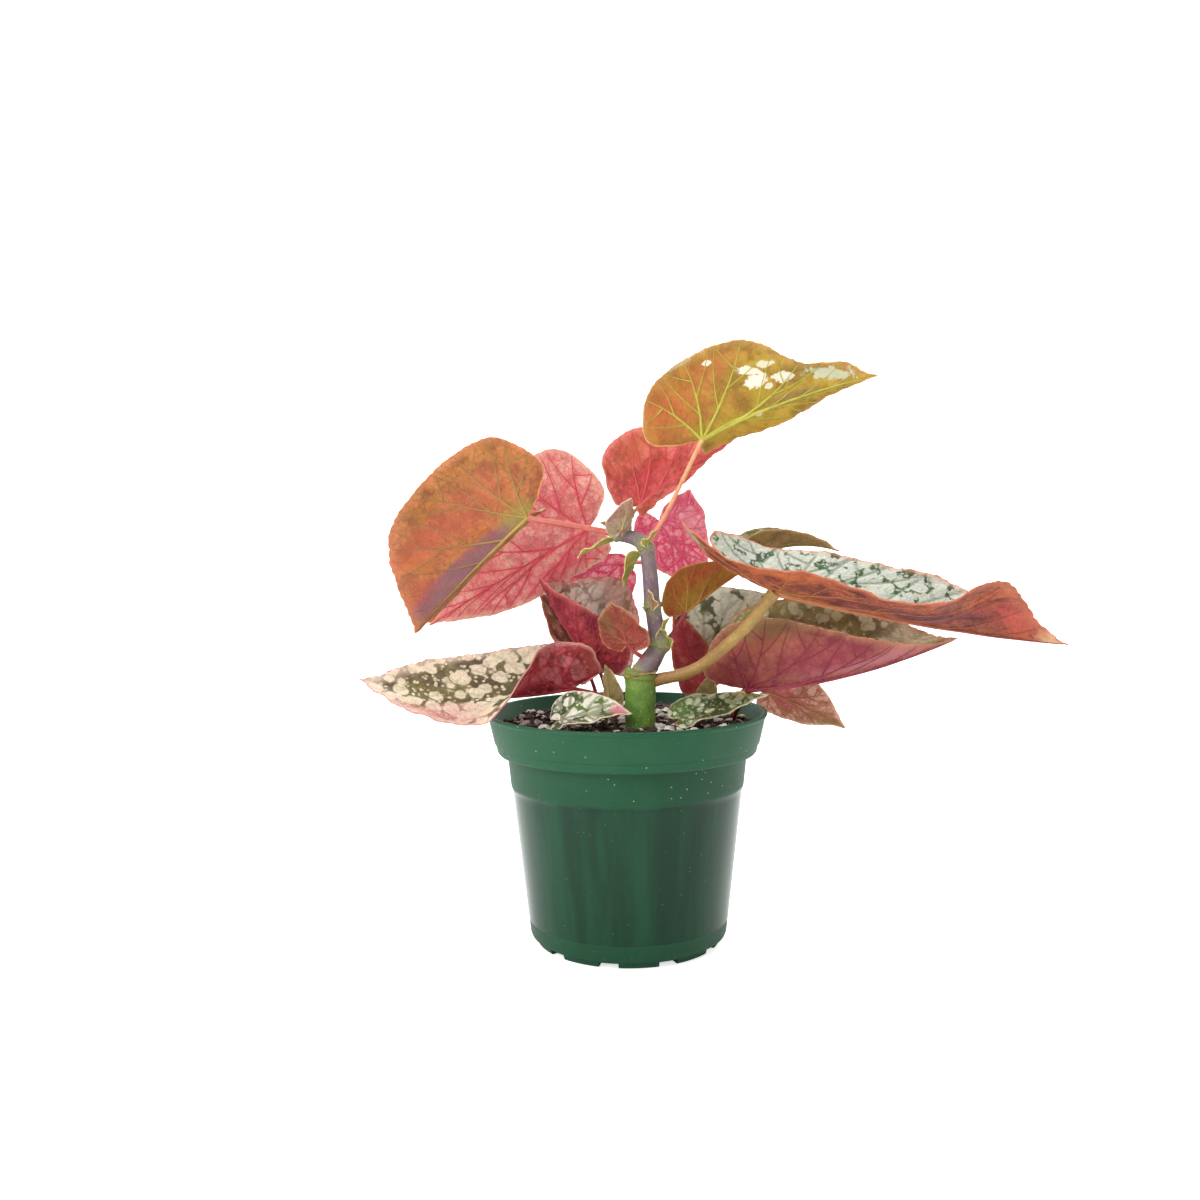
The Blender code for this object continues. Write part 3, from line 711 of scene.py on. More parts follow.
@dataclass
class MeshParts:
    """Gathers points, faces and per-point readings, then makes one object of them."""

    VECTORS = ("flat", "plan")

    points: list[Array] = field(default_factory=list)
    faces: list[tuple[int, ...]] = field(default_factory=list)
    slots: list[int] = field(default_factory=list)
    readings: dict[str, list[Array]] = field(default_factory=dict)
    count: int = 0

    def add(self, points: Array, faces: Array, slot: int, **readings: Array) -> None:
        """Adds a patch.

        Args:
            points: Its points, one a row, in metres.
            faces: Its faces by the patch's own point numbers.
            slot: The material slot of its faces.
            readings: Values at its points, by attribute name.
        """
        self.points.append(points)
        self.faces.extend(map(tuple, (np.asarray(faces) + self.count).tolist()))
        self.slots.extend([slot] * len(faces))
        for name in (*self.VECTORS, "rim", "vein", "warm", "along"):
            empty = np.zeros((len(points), 3)) if name in self.VECTORS else np.zeros(len(points))
            self.readings.setdefault(name, []).append(readings.get(name, empty))
        self.count += len(points)

    def add_mixed(self, points: Array, faces: list, slot: int, **readings: Array) -> None:
        """Adds a patch whose faces have three or four corners.

        Args:
            points: Its points, one a row, in metres.
            faces: Its faces by the patch's own point numbers.
            slot: The material slot of its faces.
            readings: Values at its points, by attribute name.
        """
        start = self.count
        self.add(points, np.array([face for face in faces if len(face) == 3]), slot, **readings)
        quads = [face for face in faces if len(face) == 4]
        self.faces.extend(tuple(corner + start for corner in face) for face in quads)
        self.slots.extend([slot] * len(quads))

    def build(self, name: str, materials: list[Material], sharp: float = 60.0) -> Piece:
        """Makes the object.

        Args:
            name: What the piece is called.
            materials: Its materials in slot order.
            sharp: The angle in degrees above which an edge stays sharp.

        Returns:
            The object, linked to the scene.
        """
        mesh = bpy.data.meshes.new(name)
        mesh.from_pydata(np.vstack(self.points).tolist(), [], self.faces)
        mesh.polygons.foreach_set("material_index", self.slots)
        for label, values in self.readings.items():
            vector = label in self.VECTORS
            made = mesh.attributes.new(label, "FLOAT_VECTOR" if vector else "FLOAT", "POINT")
            numbers = np.concatenate(values).astype(np.float32).ravel()
            made.data.foreach_set("vector" if vector else "value", numbers)
        for material in materials:
            mesh.materials.append(material)
        mesh.update()
        mesh.shade_smooth()
        mesh.set_sharp_from_angle(angle=math.radians(sharp))
        return in_scene(name, mesh)


def ring_quads(index: Array) -> Array:
    """The quads between closed rings of point numbers, one ring a row."""
    after = np.roll(index, -1, axis=1)
    return np.stack([index[:-1], after[:-1], after[1:], index[1:]], axis=-1).reshape(-1, 4)


def fan(tip: int, ring: Array, outward: bool) -> list[tuple[int, int, int]]:
    """The triangles from one point to a closed ring of point numbers."""
    pairs = zip(ring, np.roll(ring, -1))
    return [(tip, a, b) if outward else (tip, b, a) for a, b in pairs]


def along_tube(values: Array, sides: int) -> Array:
    """Values at a tube's centre line, spread over all the tube's points."""
    return np.concatenate([values[:1], np.repeat(values, sides, axis=0), values[-1:]])


def tube(path: Array, radii: Array, sides: int) -> tuple[Array, list, Array]:
    """A tube along a path, closed at both ends to a point.

    Args:
        path: The centre's points.
        radii: The radius at each.
        sides: How many sides it has.

    Returns:
        Its points, its faces as quads, and how far along each point is from 0 to 1.
    """
    ahead = unit(np.gradient(path, axis=0))
    across = np.cross(ahead[0], (0.3, 0.5, 0.81))
    rings = []
    turn = 2 * np.pi * np.arange(sides)[:, None] / sides
    for centre, way, radius in zip(path, ahead, radii):
        across = unit(across - way * across.dot(way))
        rings.append(centre + radius * (np.cos(turn) * across + np.sin(turn) * np.cross(way, across)))
    points = np.vstack([path[:1], *rings, path[-1:]])
    index = np.arange(len(path) * sides).reshape(len(path), sides) + 1
    faces = [tuple(face) for face in ring_quads(index).tolist()]
    faces += fan(0, index[0], False) + fan(len(points) - 1, index[-1], True)
    return points, faces, along_tube(np.linspace(0, 1, len(path)), sides)


@dataclass(frozen=True)
class Leaf:
    """One leaf as it grew, by where its blade meets the stalk, its tip and its stalk's way, in mm."""

    name: str
    joint: Place
    tip: Place
    turn: float
    left: Half
    right: Half
    stalk: tuple[Place, ...]
    finish: LeafFinish
    slot: Slot = Slot.RED
    droop: float = 20.0
    tail: float = 0.0
    wave: float = 0.6
    waves: float = 3.0
    thick: tuple[float, float] = (1.8, 1.4)
    spokes: int = 44
    rings: int = 26
    quilt: float = 0.5
    vein_size: float = 1.0
    seed: int = 1
    stands_in: bool = True


class Blade:
    """The fine surface of one leaf, and what lies on it."""

    SKIN = 0.42 * MM
    TOOTH = 0.004
    HAIR = 0.04 * MM
    EDGE_HAIRS, STALK_HAIRS = 130, 120
    WELT_SIDES, VEIN_SIDES, STALK_SIDES = 6, 7, 16
    # How far a vein's own colour, the tint beside it and the dip of the quilting reach.
    VEIN_REACH, WARM_REACH, DIP_REACH = 0.8 * MM, 2.6 * MM, 2.2 * MM
    # Where a large vein forks and to which side, as shares of its length.
    FORKS = ((0.36, 1), (0.56, -1), (0.74, 1))
    # Where the veins of the blade's end reach the margin and leave the midrib.
    END_VEINS = ((0.17, 0.4), (0.1, 0.58), (0.05, 0.74))

    def __init__(self, leaf: Leaf) -> None:
        """Lays out the leaf's margin, its veins and its surface.

        Args:
            leaf: The leaf.
        """
        self.leaf = leaf
        self.draw = random.Random(leaf.seed * 7919)
        chord = (np.array(leaf.tip) - np.array(leaf.joint)) * MM
        size = float(np.linalg.norm(chord))
        ahead = chord / size
        left = unit(np.cross((0.0, 0.0, 1.0), ahead))
        turn = math.radians(leaf.turn)
        self.side = left * math.cos(turn) + np.cross(ahead, left) * math.sin(turn)
        up = np.cross(ahead, self.side)
        bend = math.radians(leaf.droop)
        self.length = size * (bend / 2) / math.sin(bend / 2)
        self.lead = ahead * math.cos(bend / 2) + up * math.sin(bend / 2)
        self.upper = up * math.cos(bend / 2) - ahead * math.sin(bend / 2)
        self.joint = np.array(leaf.joint) * MM
        self.edge = self.whole_margin(leaf.spokes)
        self.angles = -np.arctan2(self.edge[:, 1], self.edge[:, 0])
        self.veins = self.grow_veins()
        self.grid, self.normals, self.flat, self.near, self.warm = self.lay_surface()

    def margin(self, half: Half, count: int) -> Array:
        """Flat points on a half's margin from the tip to the notch.

        Args:
            half: The half.
            count: How many spans there are.

        Returns:
            The points, across taken as positive, in metres.
        """
        along, across = OUTLINE[:, 0].copy(), OUTLINE[:, 1].copy()
        ahead = along > 0
        share = np.where(ahead, np.abs(along) ** half.taper, 0.0)
        bulge = 1 + half.swell[1] * np.exp(-(((share - half.swell[0]) / SWELL_SPAN) ** 2))
        across = np.where(ahead, across * bulge, across)
        reach = np.where(ahead, share * self.length, along * half.lobe * MM)
        path = curve_through(np.stack([reach, across * half.width * MM], axis=1), 24)
        walked = np.concatenate([[0.0], np.cumsum(np.linalg.norm(np.diff(path, axis=0), axis=1))])
        wanted = np.linspace(0.0, walked[-1], count + 1)
        return np.stack([np.interp(wanted, walked, path[:, i]) for i in range(2)], axis=1)

    def whole_margin(self, count: int) -> Array:
        """The whole margin, from the left notch round the tip to the right one.

        Args:
            count: How many spans each half has.

        Returns:
            Its flat points, with left taken as positive.
        """
        left = self.margin(self.leaf.left, count)[::-1]
        right = self.margin(self.leaf.right, count)[1:] * (1, -1)
        return np.vstack([left, right])

    def locate(self, flat: Array) -> tuple[Array, Array]:
        """Finds which spokes flat places lie on, and how far out.

        Args:
            flat: The flat places, in metres.

        Returns:
            The spokes, and the shares of the way to the margin.
        """
        angle = -np.arctan2(flat[:, 1], flat[:, 0])
        spoke = np.interp(angle, self.angles, np.arange(len(self.edge)))
        reach = np.interp(spoke, np.arange(len(self.edge)), np.linalg.norm(self.edge, axis=1))
        return spoke, np.clip(np.linalg.norm(flat, axis=1) / reach, 0.0, 1.0)

    def lay(self, flat: Array, share: Array) -> Array:
        """Where flat places of the blade lie in space.

        Args:
            flat: The flat places, in metres, with left taken as positive.
            share: How far each is towards the margin.

        Returns:
            Their places in the row frame, on the middle of the blade.
        """
        leaf = self.leaf
        lobe = max(leaf.left.lobe, leaf.right.lobe) * MM
        across, rise = np.zeros(len(flat)), np.zeros(len(flat))
        along = np.clip(flat[:, 0] / self.length, -1.0, 1.0)
        for half, sign in ((leaf.left, 1.0), (leaf.right, -1.0)):
            mine = flat[:, 1] >= 0 if sign > 0 else flat[:, 1] < 0
            far = np.abs(flat[mine, 1])
            here = along[mine]
            fold = half.fold
            behind = smooth_step(-flat[mine, 0] / (half.lobe * MM))
            first, second = smooth_step(here * 2), smooth_step(here * 2 - 1)
            lobe_fold = fold[1] + (fold[0] - fold[1]) * behind
            raised = np.where(here < 0, lobe_fold, fold[1] + (fold[2] - fold[1]) * first)
            raised = np.radians(np.where(here >= 0.5, fold[2] + (fold[3] - fold[2]) * second, raised))
            rate = math.radians(max(half.curl, 0.01)) / (half.width * MM)
            end = raised + rate * far
            ripple = np.sin(leaf.waves * np.pi * here) * np.minimum(far / (0.4 * half.width * MM), 1.0)
            across[mine] = (np.sin(end) - np.sin(raised)) / rate * sign
            rise[mine] = (np.cos(raised) - np.cos(end)) / rate + leaf.wave * MM * share[mine] ** 2 * ripple
        droop, tail = math.radians(leaf.droop) / self.length, math.radians(leaf.tail) / lobe
        bend = np.where(flat[:, 0] > 0, droop, tail)
        bend = np.where(np.abs(bend) < 1e-6, 1e-6, bend)
        slope = bend * flat[:, 0]
        run = np.sin(slope) / bend + rise * np.sin(slope)
        height = rise * np.cos(slope) - (1 - np.cos(slope)) / bend
        level = np.outer(run, self.lead) + np.outer(across, self.side)
        return self.joint + level + np.outer(height, self.upper)

    def vein_between(self, start: Array, end: Array, bow: float) -> Array:
        """A flat curved vein from one place to another.

        Args:
            start: Where it starts.
            end: Where it ends.
            bow: How far it is pulled to its left, as a share of its length.

        Returns:
            Its points.
        """
        way = end - start
        middle = start + way * 0.55 + np.array([-way[1], way[0]]) * bow
        t = np.linspace(0, 1, 20)[:, None]
        return (1 - t) ** 2 * start + 2 * t * (1 - t) * middle + t ** 2 * end

    def grow_veins(self) -> list[tuple[Array, float, float]]:
        """Lays out the blade's veins.

        Returns:
            Flat paths in metres, each with its radius at both ends in mm.
        """
        leaf = self.leaf
        scale = min(1.0, 0.45 + self.length / MM / 130)
        thick = leaf.thick[1] * 0.42 * leaf.vein_size
        tip = np.array([self.length * 0.985, 0.0])
        t = np.linspace(0, 1, 28)[:, None]
        veins = [(tip * t, thick, 0.14 * scale)]
        for half, sign in ((leaf.left, 1.0), (leaf.right, -1.0)):
            rim = self.margin(half, 200) * (1, sign)
            for number in range(half.veins):
                place = 0.24 + 0.6 * (number + 0.1) / max(half.veins - 0.4, 1)
                place += self.draw.uniform(-0.02, 0.02)
                root = np.array([self.length * (0.2 if number == 0 and half.veins > 2 else 0.0), 0.0])
                end = rim[int(place * 200)] * 0.975
                path = self.vein_between(root, end, -0.1 * sign * self.draw.uniform(0.5, 1.4))
                veins.append((path, 0.5 * scale * leaf.vein_size, 0.13 * scale))
                for where, turn in self.FORKS:
                    fork = path[int(where * 19)]
                    reach = place + turn * self.draw.uniform(0.07, 0.11) * (1.2 - where * 0.6)
                    goal = rim[int(min(max(reach, 0.02), 0.96) * 200)] * 0.965
                    bow = 0.08 * turn * sign
                    veins.append((self.vein_between(fork, goal, bow), 0.3 * scale, 0.1 * scale))
            for place, root_at in self.END_VEINS:
                root = np.array([self.length * root_at, 0.0])
                goal = rim[int(place * 200)] * 0.96
                veins.append((self.vein_between(root, goal, -0.06 * sign), 0.26 * scale, 0.1 * scale))
        return veins

    def lay_surface(self) -> tuple[Array, ...]:
        """The blade's middle surface with its quilting, ruffles and teeth.

        Returns:
            The grid of points by ring and spoke, its normals, the flat places, and how near each
            point is to a vein, closely and broadly.
        """
        leaf = self.leaf
        shares = np.linspace(0.0, 1.0, leaf.rings + 1)
        spokes = np.arange(len(self.edge))
        teeth = 1 + self.TOOTH * (np.sin(spokes * 2.3 + leaf.seed) + 0.8 * np.sin(spokes * 0.71))
        edge = self.edge * np.where(np.abs(self.edge[:, 1]) < 1e-6, 1.0, teeth)[:, None]
        flat = shares[:, None, None] * (self.edge + (edge - self.edge) * shares[:, None, None] ** 8)
        flat_list = flat.reshape(-1, 2)
        share_list = np.repeat(shares, len(spokes))
        gap = np.full(len(flat_list), 1.0)
        for path, _, _ in self.veins:
            start, way = path[:-1], np.diff(path, axis=0)
            square = np.maximum((way ** 2).sum(1), 1e-14)
            t = np.clip(((flat_list[:, None] - start) * way).sum(2) / square, 0, 1)
            away = flat_list[:, None] - (start + t[..., None] * way)
            gap = np.minimum(gap, np.sqrt((away ** 2).sum(2).min(1)))
        near = np.exp(-((gap / self.VEIN_REACH) ** 2))
        warm = np.exp(-gap / self.WARM_REACH) * (1.15 - 0.75 * share_list)
        shape = (leaf.rings + 1, len(spokes))
        grid = self.lay(flat_list, share_list).reshape(*shape, 3)
        normals = self.grid_normals(grid)
        dome = (1 - np.exp(-gap / self.DIP_REACH)).reshape(shape)
        fade = np.minimum(shares[:, None] * 3, 1) * (1 - 0.75 * shares[:, None] ** 6)
        puckers = np.sin(flat[..., 0] * 1900 + leaf.seed) * np.sin(flat[..., 1] * 1700 + 2 * leaf.seed)
        frill = np.sin(spokes * 0.61 + leaf.seed) * np.sin(spokes * 0.173 + 1.0) * shares[:, None] ** 7
        rise = (leaf.quilt * dome + 0.12 * puckers) * fade - leaf.quilt * 0.35 + 0.5 * frill
        grid = grid + normals * (rise * MM * np.minimum(shares[:, None] * 4, 1))[..., None]
        return grid, self.grid_normals(grid), flat, near.reshape(shape), warm.reshape(shape)

    @staticmethod
    def grid_normals(grid: Array) -> Array:
        """The normals of a grid of points, towards the leaf's upper side.

        Args:
            grid: The points, by ring and spoke.

        Returns:
            A normal for each point.
        """
        outward = np.gradient(grid, axis=0)
        round_it = np.gradient(grid, axis=1)
        outward[0] = outward[1]
        round_it[0] = round_it[1]
        made = unit(np.cross(round_it, outward))
        made[0] = unit(made[1].mean(axis=0))
        return made

    @staticmethod
    def sample(table: Array, spoke: Array, ring: Array) -> Array:
        """A table of the grid's values, read between its points.

        Args:
            table: The values, by ring and spoke.
            spoke: Which spokes are read.
            ring: Which rings are read.

        Returns:
            The values there.
        """
        low_s = np.clip(spoke.astype(int), 0, table.shape[1] - 2)
        low_r = np.clip(ring.astype(int), 0, table.shape[0] - 2)
        s, r = (spoke - low_s)[:, None], (ring - low_r)[:, None]
        first = table[low_r, low_s] * (1 - s) + table[low_r, low_s + 1] * s
        second = table[low_r + 1, low_s] * (1 - s) + table[low_r + 1, low_s + 1] * s
        return first * (1 - r) + second * r

    def add_skin(self, parts: MeshParts) -> None:
        """Adds both faces of the blade and the rounded margin between them.

        Args:
            parts: The mesh that they go into.
        """
        rings, spokes, _ = self.grid.shape
        offset = np.array([self.leaf.seed * 137.1, self.leaf.seed * 71.3, 0.0])
        bare = np.concatenate([self.flat / MM, np.zeros((rings, spokes, 1))], axis=2)
        plan = bare + offset
        index = np.arange(rings * spokes).reshape(rings, spokes)
        corners = [index[:-1, :-1], index[:-1, 1:], index[1:, 1:], index[1:, :-1]]
        faces = np.stack(corners, axis=-1).reshape(-1, 4).tolist()
        first = [(q[0], q[2], q[3]) for q in faces[: spokes - 1]]
        shares = np.repeat(np.linspace(0, 1, rings), spokes)
        readings = {
            "flat": plan.reshape(-1, 3), "plan": bare.reshape(-1, 3), "rim": shares,
            "vein": self.near.ravel(), "warm": self.warm.ravel(),
            "along": np.clip(self.flat[..., 0].ravel() / self.length, 0, 1),
        }
        for slot, sign in ((UPPER, 1.0), (UNDER, -1.0)):
            points = (self.grid + self.normals * (sign * self.SKIN / 2)).reshape(-1, 3)
            points[:spokes] = points[:spokes].mean(axis=0)
            body = [tuple(q) for q in faces[spokes - 1:]] + first
            if sign < 0:
                body = [q[::-1] for q in body]
            parts.add_mixed(points, body, slot, **readings)
        self.add_margin(parts, plan, index)

    def add_margin(self, parts: MeshParts, plan: Array, index: Array) -> None:
        """Adds a thin rounded welt all along the blade's edge, over the gap between its faces.

        Args:
            parts: The mesh that it goes into.
            plan: The flat places that its grain goes by, in mm.
            index: The grid's point numbers.
        """
        rings = self.grid.shape[0] - 1
        loop = [(ring, 0) for ring in range(1, rings)] + [(rings, s) for s in range(index.shape[1])]
        loop += [(ring, index.shape[1] - 1) for ring in range(rings - 1, 0, -1)]
        rows = tuple(np.array(loop).T)
        path = self.grid[rows]
        radii = np.full(len(path), self.SKIN * 0.62)
        radii *= 1 + 0.3 * np.sin(np.arange(len(path)) * 1.9)
        points, faces, share = tube(path, radii, self.WELT_SIDES)
        flat = along_tube(plan[rows], self.WELT_SIDES)
        parts.add_mixed(points, faces, MARGIN, flat=flat, along=share, rim=np.ones(len(points)))
        self.add_hairs(parts, path, radii, self.EDGE_HAIRS)

    def add_veins(self, parts: MeshParts) -> None:
        """Adds the raised veins on the underside.

        Args:
            parts: The mesh that they go into.
        """
        for path, start, end in self.veins:
            spoke, share = self.locate(path)
            ring = share * (self.grid.shape[0] - 1)
            middle = self.sample(self.grid, spoke, ring)
            normal = unit(self.sample(self.normals, spoke, ring))
            fall = np.linspace(0, 1, len(path)) ** 0.7
            radii = (start + (end - start) * fall) * MM
            centre = middle - normal * (self.SKIN / 2 + radii * 0.1)[:, None]
            points, faces, _ = tube(centre, radii, self.VEIN_SIDES)
            reach = np.clip(np.linalg.norm(path, axis=1) / self.length, 0, 1)
            along = along_tube(reach, self.VEIN_SIDES)
            flat = along_tube(np.column_stack([path / MM, np.zeros(len(path))]), self.VEIN_SIDES)
            flat[:, 2] += np.arange(len(flat)) % self.VEIN_SIDES
            parts.add_mixed(points, faces, VEIN, flat=flat, along=along)

    def add_stalk(self, parts: MeshParts) -> None:
        """Adds the stalk, a little swollen where it leaves the cane and where it meets the blade.

        Args:
            parts: The mesh that it goes into.
        """
        leaf = self.leaf
        way = np.vstack([np.array(leaf.stalk) * MM, self.joint - self.upper * 0.35 * MM])
        path = curve_through(way, 14)
        share = np.linspace(0, 1, len(path))
        radii = (leaf.thick[0] + (leaf.thick[1] - leaf.thick[0]) * share) * MM / 2
        radii *= 1 + 0.28 * np.exp(-((1 - share) / 0.05) ** 2) + 0.16 * np.exp(-(share / 0.08) ** 2)
        radii *= 1 + 0.025 * np.sin(share * 31 + leaf.seed) + 0.02 * np.sin(share * 67)
        points, faces, along = tube(path, radii, self.STALK_SIDES)
        turn = 2 * np.pi * (np.arange(len(points)) % self.STALK_SIDES / self.STALK_SIDES)
        flat = np.column_stack([along * 40, np.cos(turn) * 1.5, np.sin(turn) * 1.5]) + leaf.seed * 3.0
        parts.add_mixed(points, faces, STALK, flat=flat, along=along)
        self.add_hairs(parts, path, radii, self.STALK_HAIRS)

    def add_hairs(self, parts: MeshParts, path: Array, radii: Array, count: int) -> None:
        """Adds short fine hairs that stand off a stalk or the blade's edge.

        Args:
            parts: The mesh that they go into.
            path: The line that they grow along.
            radii: How thick the stem or edge is at each place of it.
            count: How many there are.
        """
        if not self.leaf.stands_in:
            return
        draw = np.random.default_rng(self.leaf.seed * 7 + count)
        at = draw.integers(1, len(path) - 1, count)
        along = unit(path[at + 1] - path[at - 1])
        way = draw.normal(size=(count, 3))
        way = unit(way - 0.85 * np.sum(way * along, axis=1, keepdims=True) * along)
        side = unit(np.cross(way, along))
        root = path[at] + draw.random((count, 1)) * (path[at + 1] - path[at]) + way * radii[at][:, None] * 0.6
        turns = np.radians([0.0, 120.0, 240.0])
        corners = [root + self.HAIR * (side * math.cos(turn) + along * math.sin(turn)) for turn in turns]
        tips = root + way * draw.uniform(0.5, 1.1, (count, 1)) * MM
        points = np.stack([*corners, tips], axis=1).reshape(-1, 3)
        shape = np.array([(1, 0, 3), (2, 1, 3), (0, 2, 3), (0, 1, 2)])
        faces = (4 * np.arange(count)[:, None, None] + shape).reshape(-1, 3)
        parts.add(points, faces, STALK, flat=points / MM, along=np.full(len(points), 0.6))

    def build(self) -> Piece:
        """The leaf as one dressed piece, which stands for its solid where it has one.

        Returns:
            The piece.
        """
        parts = MeshParts()
        self.add_skin(parts)
        self.add_veins(parts)
        self.add_stalk(parts)
        made = parts.build(self.leaf.name + "_grown", self.leaf.finish.dress())
        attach(made, "root")
        if self.leaf.stands_in:
            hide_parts(self.leaf.name)
        return made


def turned(profile: Array, segments: int) -> MeshParts:
    """A profile of radius and height turned round Z, with its ends on the axis.

    Args:
        profile: Radii and heights, one pair a row, in metres.
        segments: How many sides it has.

    Returns:
        The mesh's parts.
    """
    parts = MeshParts()
    angle = 2 * np.pi * np.arange(segments) / segments
    inner = profile[1:-1]
    ring = np.stack([np.cos(angle), np.sin(angle)], axis=1)
    across = ring[None] * inner[:, :1, None]
    heights = np.broadcast_to(inner[:, 1:, None], (len(inner), segments, 1))
    body = np.concatenate([across, heights], axis=2).reshape(-1, 3)
    points = np.vstack([body, (0, 0, profile[0][1]), (0, 0, profile[-1][1])])
    index = np.arange(len(body)).reshape(len(inner), segments)
    caps = fan(len(body), index[0], False) + fan(len(body) + 1, index[-1], True)
    parts.add(points, ring_quads(index), 0)
    parts.faces.extend(caps)
    parts.slots.extend([0] * len(caps))
    return parts


def apply_modifiers(piece: Piece) -> None:
    """Makes a piece's modified mesh its own mesh.

    Args:
        piece: The piece.
    """
    graph = bpy.context.evaluated_depsgraph_get()
    made = bpy.data.meshes.new_from_object(piece.evaluated_get(graph))
    piece.modifiers.clear()
    piece.data = made


@dataclass
class Pot:
    """The nursery pot: a band under its rim, a matte upper wall and a glossy lower one. In mm."""

    rim: float = 54.0
    height: float = 89.0
    wall: float = 1.5
    band_height: float = 15.5
    band: float = 50.0
    neck: float = 46.3
    neck_height: float = 29.0
    step: float = 44.5
    foot: float = 38.1
    base: float = 35.5
    base_rise: float = 2.8
    notches: int = 10
    notch_width: float = 7.4
    notch_inner: float = 29.0
    notch_height: float = 1.9
    notch_turn: float = 6.0
    segments: int = 192
    sharp: float = 34.0
    matte_from: tuple[float, float] = (60.5, 62.2)
    band_from: tuple[float, float] = (73.5, 74.2)
    foot_below: tuple[float, float] = (9.4, 8.8)

    def outside(self) -> list[tuple[float, float]]:
        """The section up the outside and over the lip, its corners rounded as a mould leaves them.

        Returns:
            Its radii and heights, in mm.
        """
        low, shoulder = self.height - self.band_height, self.height - self.neck_height
        return [
            (0.0, 0.0), (self.base - 0.4, 0.0), (self.base, 0.3), (self.base + 0.5, 2.0),
            (self.base + 1.0, 2.6), (self.foot - 1.0, self.base_rise), (self.foot - 0.4, 3.0),
            (self.foot, 4.0), (self.foot + 0.5, 8.4), (self.foot + 0.62, 9.0), (self.foot + 0.7, 9.6),
            (self.step - 0.3, shoulder - 2.0), (self.step, shoulder), (self.step + 0.4, shoulder + 0.6),
            (self.step + 0.6, shoulder + 2.0), (self.neck - 0.1, low - 0.6), (self.neck, low),
            (self.band - 1.2, low), (self.band - 0.5, low + 0.15), (self.band - 0.1, low + 0.6),
            (self.band + 0.1, low + 1.2), (self.band + 0.6, low + 3.6), (self.band + 1.0, low + 3.85),
            (self.band + 1.2, low + 4.3), (self.rim - 0.7, self.height - 1.9),
            (self.rim - 0.25, self.height - 1.5), (self.rim, self.height - 0.9),
            (self.rim - 0.12, self.height - 0.35), (self.rim - 0.5, self.height - 0.05),
            (self.rim - 1.1, self.height - 0.02), (self.rim - 1.5, self.height - 0.25),
        ]

    def inside(self) -> list[tuple[float, float]]:
        """The section down the inside to the middle of the floor.

        Returns:
            Its radii and heights, in mm.
        """
        low = self.height - self.band_height
        floor = self.base_rise + self.wall
        return [
            (self.rim - 2.4, self.height - 2.6), (self.band - self.wall + 0.2, low + 4.4),
            (self.neck - self.wall, low + 0.6), (self.step - self.wall, self.height - self.neck_height),
            (self.foot - self.wall, floor + 1.0), (self.foot - self.wall - 1.6, floor),
            (self.base - 2.0, self.wall), (0.0, self.wall),
        ]

    def plastic(self) -> Material:
        """Green moulded plastic, matte and dusty above and glossy below.

        Returns:
            The material.
        """
        made, wiring, shader = begin_material("pot_plastic")
        place = wiring.place()
        height = wiring.part_of(place, 2)
        mottle = wiring.effect(Effect.MOTTLE, {"Vector": place, "Scale": 26.0, "Softness": 0.3})
        grain = wiring.effect(Effect.GRAIN, {"Vector": place, "Scale": 1500.0})
        dust = wiring.effect(Effect.DUST, {"Vector": place, "Scale": 900.0, "Amount": 0.07})
        drawn = wiring.vector("MULTIPLY", place, (1.0, 1.0, 0.03))
        flow = wiring.step(wiring.noise(drawn, 95.0, 3.0, 0.6)[0], 0.35, 0.68)
        waver = wiring.sum("MULTIPLY_ADD", mottle["Patch"], 0.0016, height)
        matte = wiring.step(waver, *(edge * MM for edge in self.matte_from))
        foot = wiring.step(height, *(edge * MM for edge in self.foot_below))
        colour = wiring.mix((6, 46, 28), (13, 62, 39), flow)
        mould = wiring.mix((13, 64, 39), (18, 72, 45), mottle["Patch"])
        colour = wiring.mix(colour, mould, wiring.times(matte, 0.9))
        colour = wiring.mix(colour, mould, wiring.times(foot, 0.8))
        band = wiring.step(height, *(edge * MM for edge in self.band_from))
        colour = wiring.mix(colour, (24, 82, 52), wiring.times(band, 0.6))
        film = wiring.times(dust["Film"], wiring.sum("MULTIPLY_ADD", matte, 0.3, 0.05))
        colour = wiring.mix(colour, (120, 140, 116), film)
        specks = wiring.times(dust["Specks"], wiring.sum("MULTIPLY_ADD", matte, 0.5, 0.12))
        colour = wiring.mix(colour, (196, 196, 176), specks)
        dull = wiring.sum("MAXIMUM", matte, foot)
        rough = wiring.sum("MULTIPLY_ADD", dull, 0.34, 0.13)
        rough = wiring.sum("MULTIPLY_ADD", grain["Speckle"], 0.08, rough)
        relief = wiring.times(grain["Height"], wiring.sum("MULTIPLY_ADD", dull, 0.9, 0.1))
        set_surface(wiring, shader, colour, rough, relief, 0.05 * MM, 0.24)
        return made

    def slot_cutter(self, angle: float) -> Piece:
        """A block that cuts one drain slot through the edge of the base.

        Args:
            angle: Where it is round the pot, in radians.

        Returns:
            The block.
        """
        made = bmesh.new()
        bmesh.ops.create_cube(made, size=1.0)
        length = self.foot - self.notch_inner + 2
        size = Vector((length, self.notch_width, self.notch_height + 1)) * MM
        place = Vector((self.notch_inner + length / 2, 0.0, (self.notch_height - 1) / 2)) * MM
        for vert in made.verts:
            vert.co = Vector(a * b for a, b in zip(vert.co, size)) + place
        bmesh.ops.transform(made, matrix=Matrix.Rotation(angle, 4, "Z"), verts=made.verts)
        mesh = bpy.data.meshes.new("slot_cutter")
        made.to_mesh(mesh)
        made.free()
        return in_scene("slot_cutter", mesh)

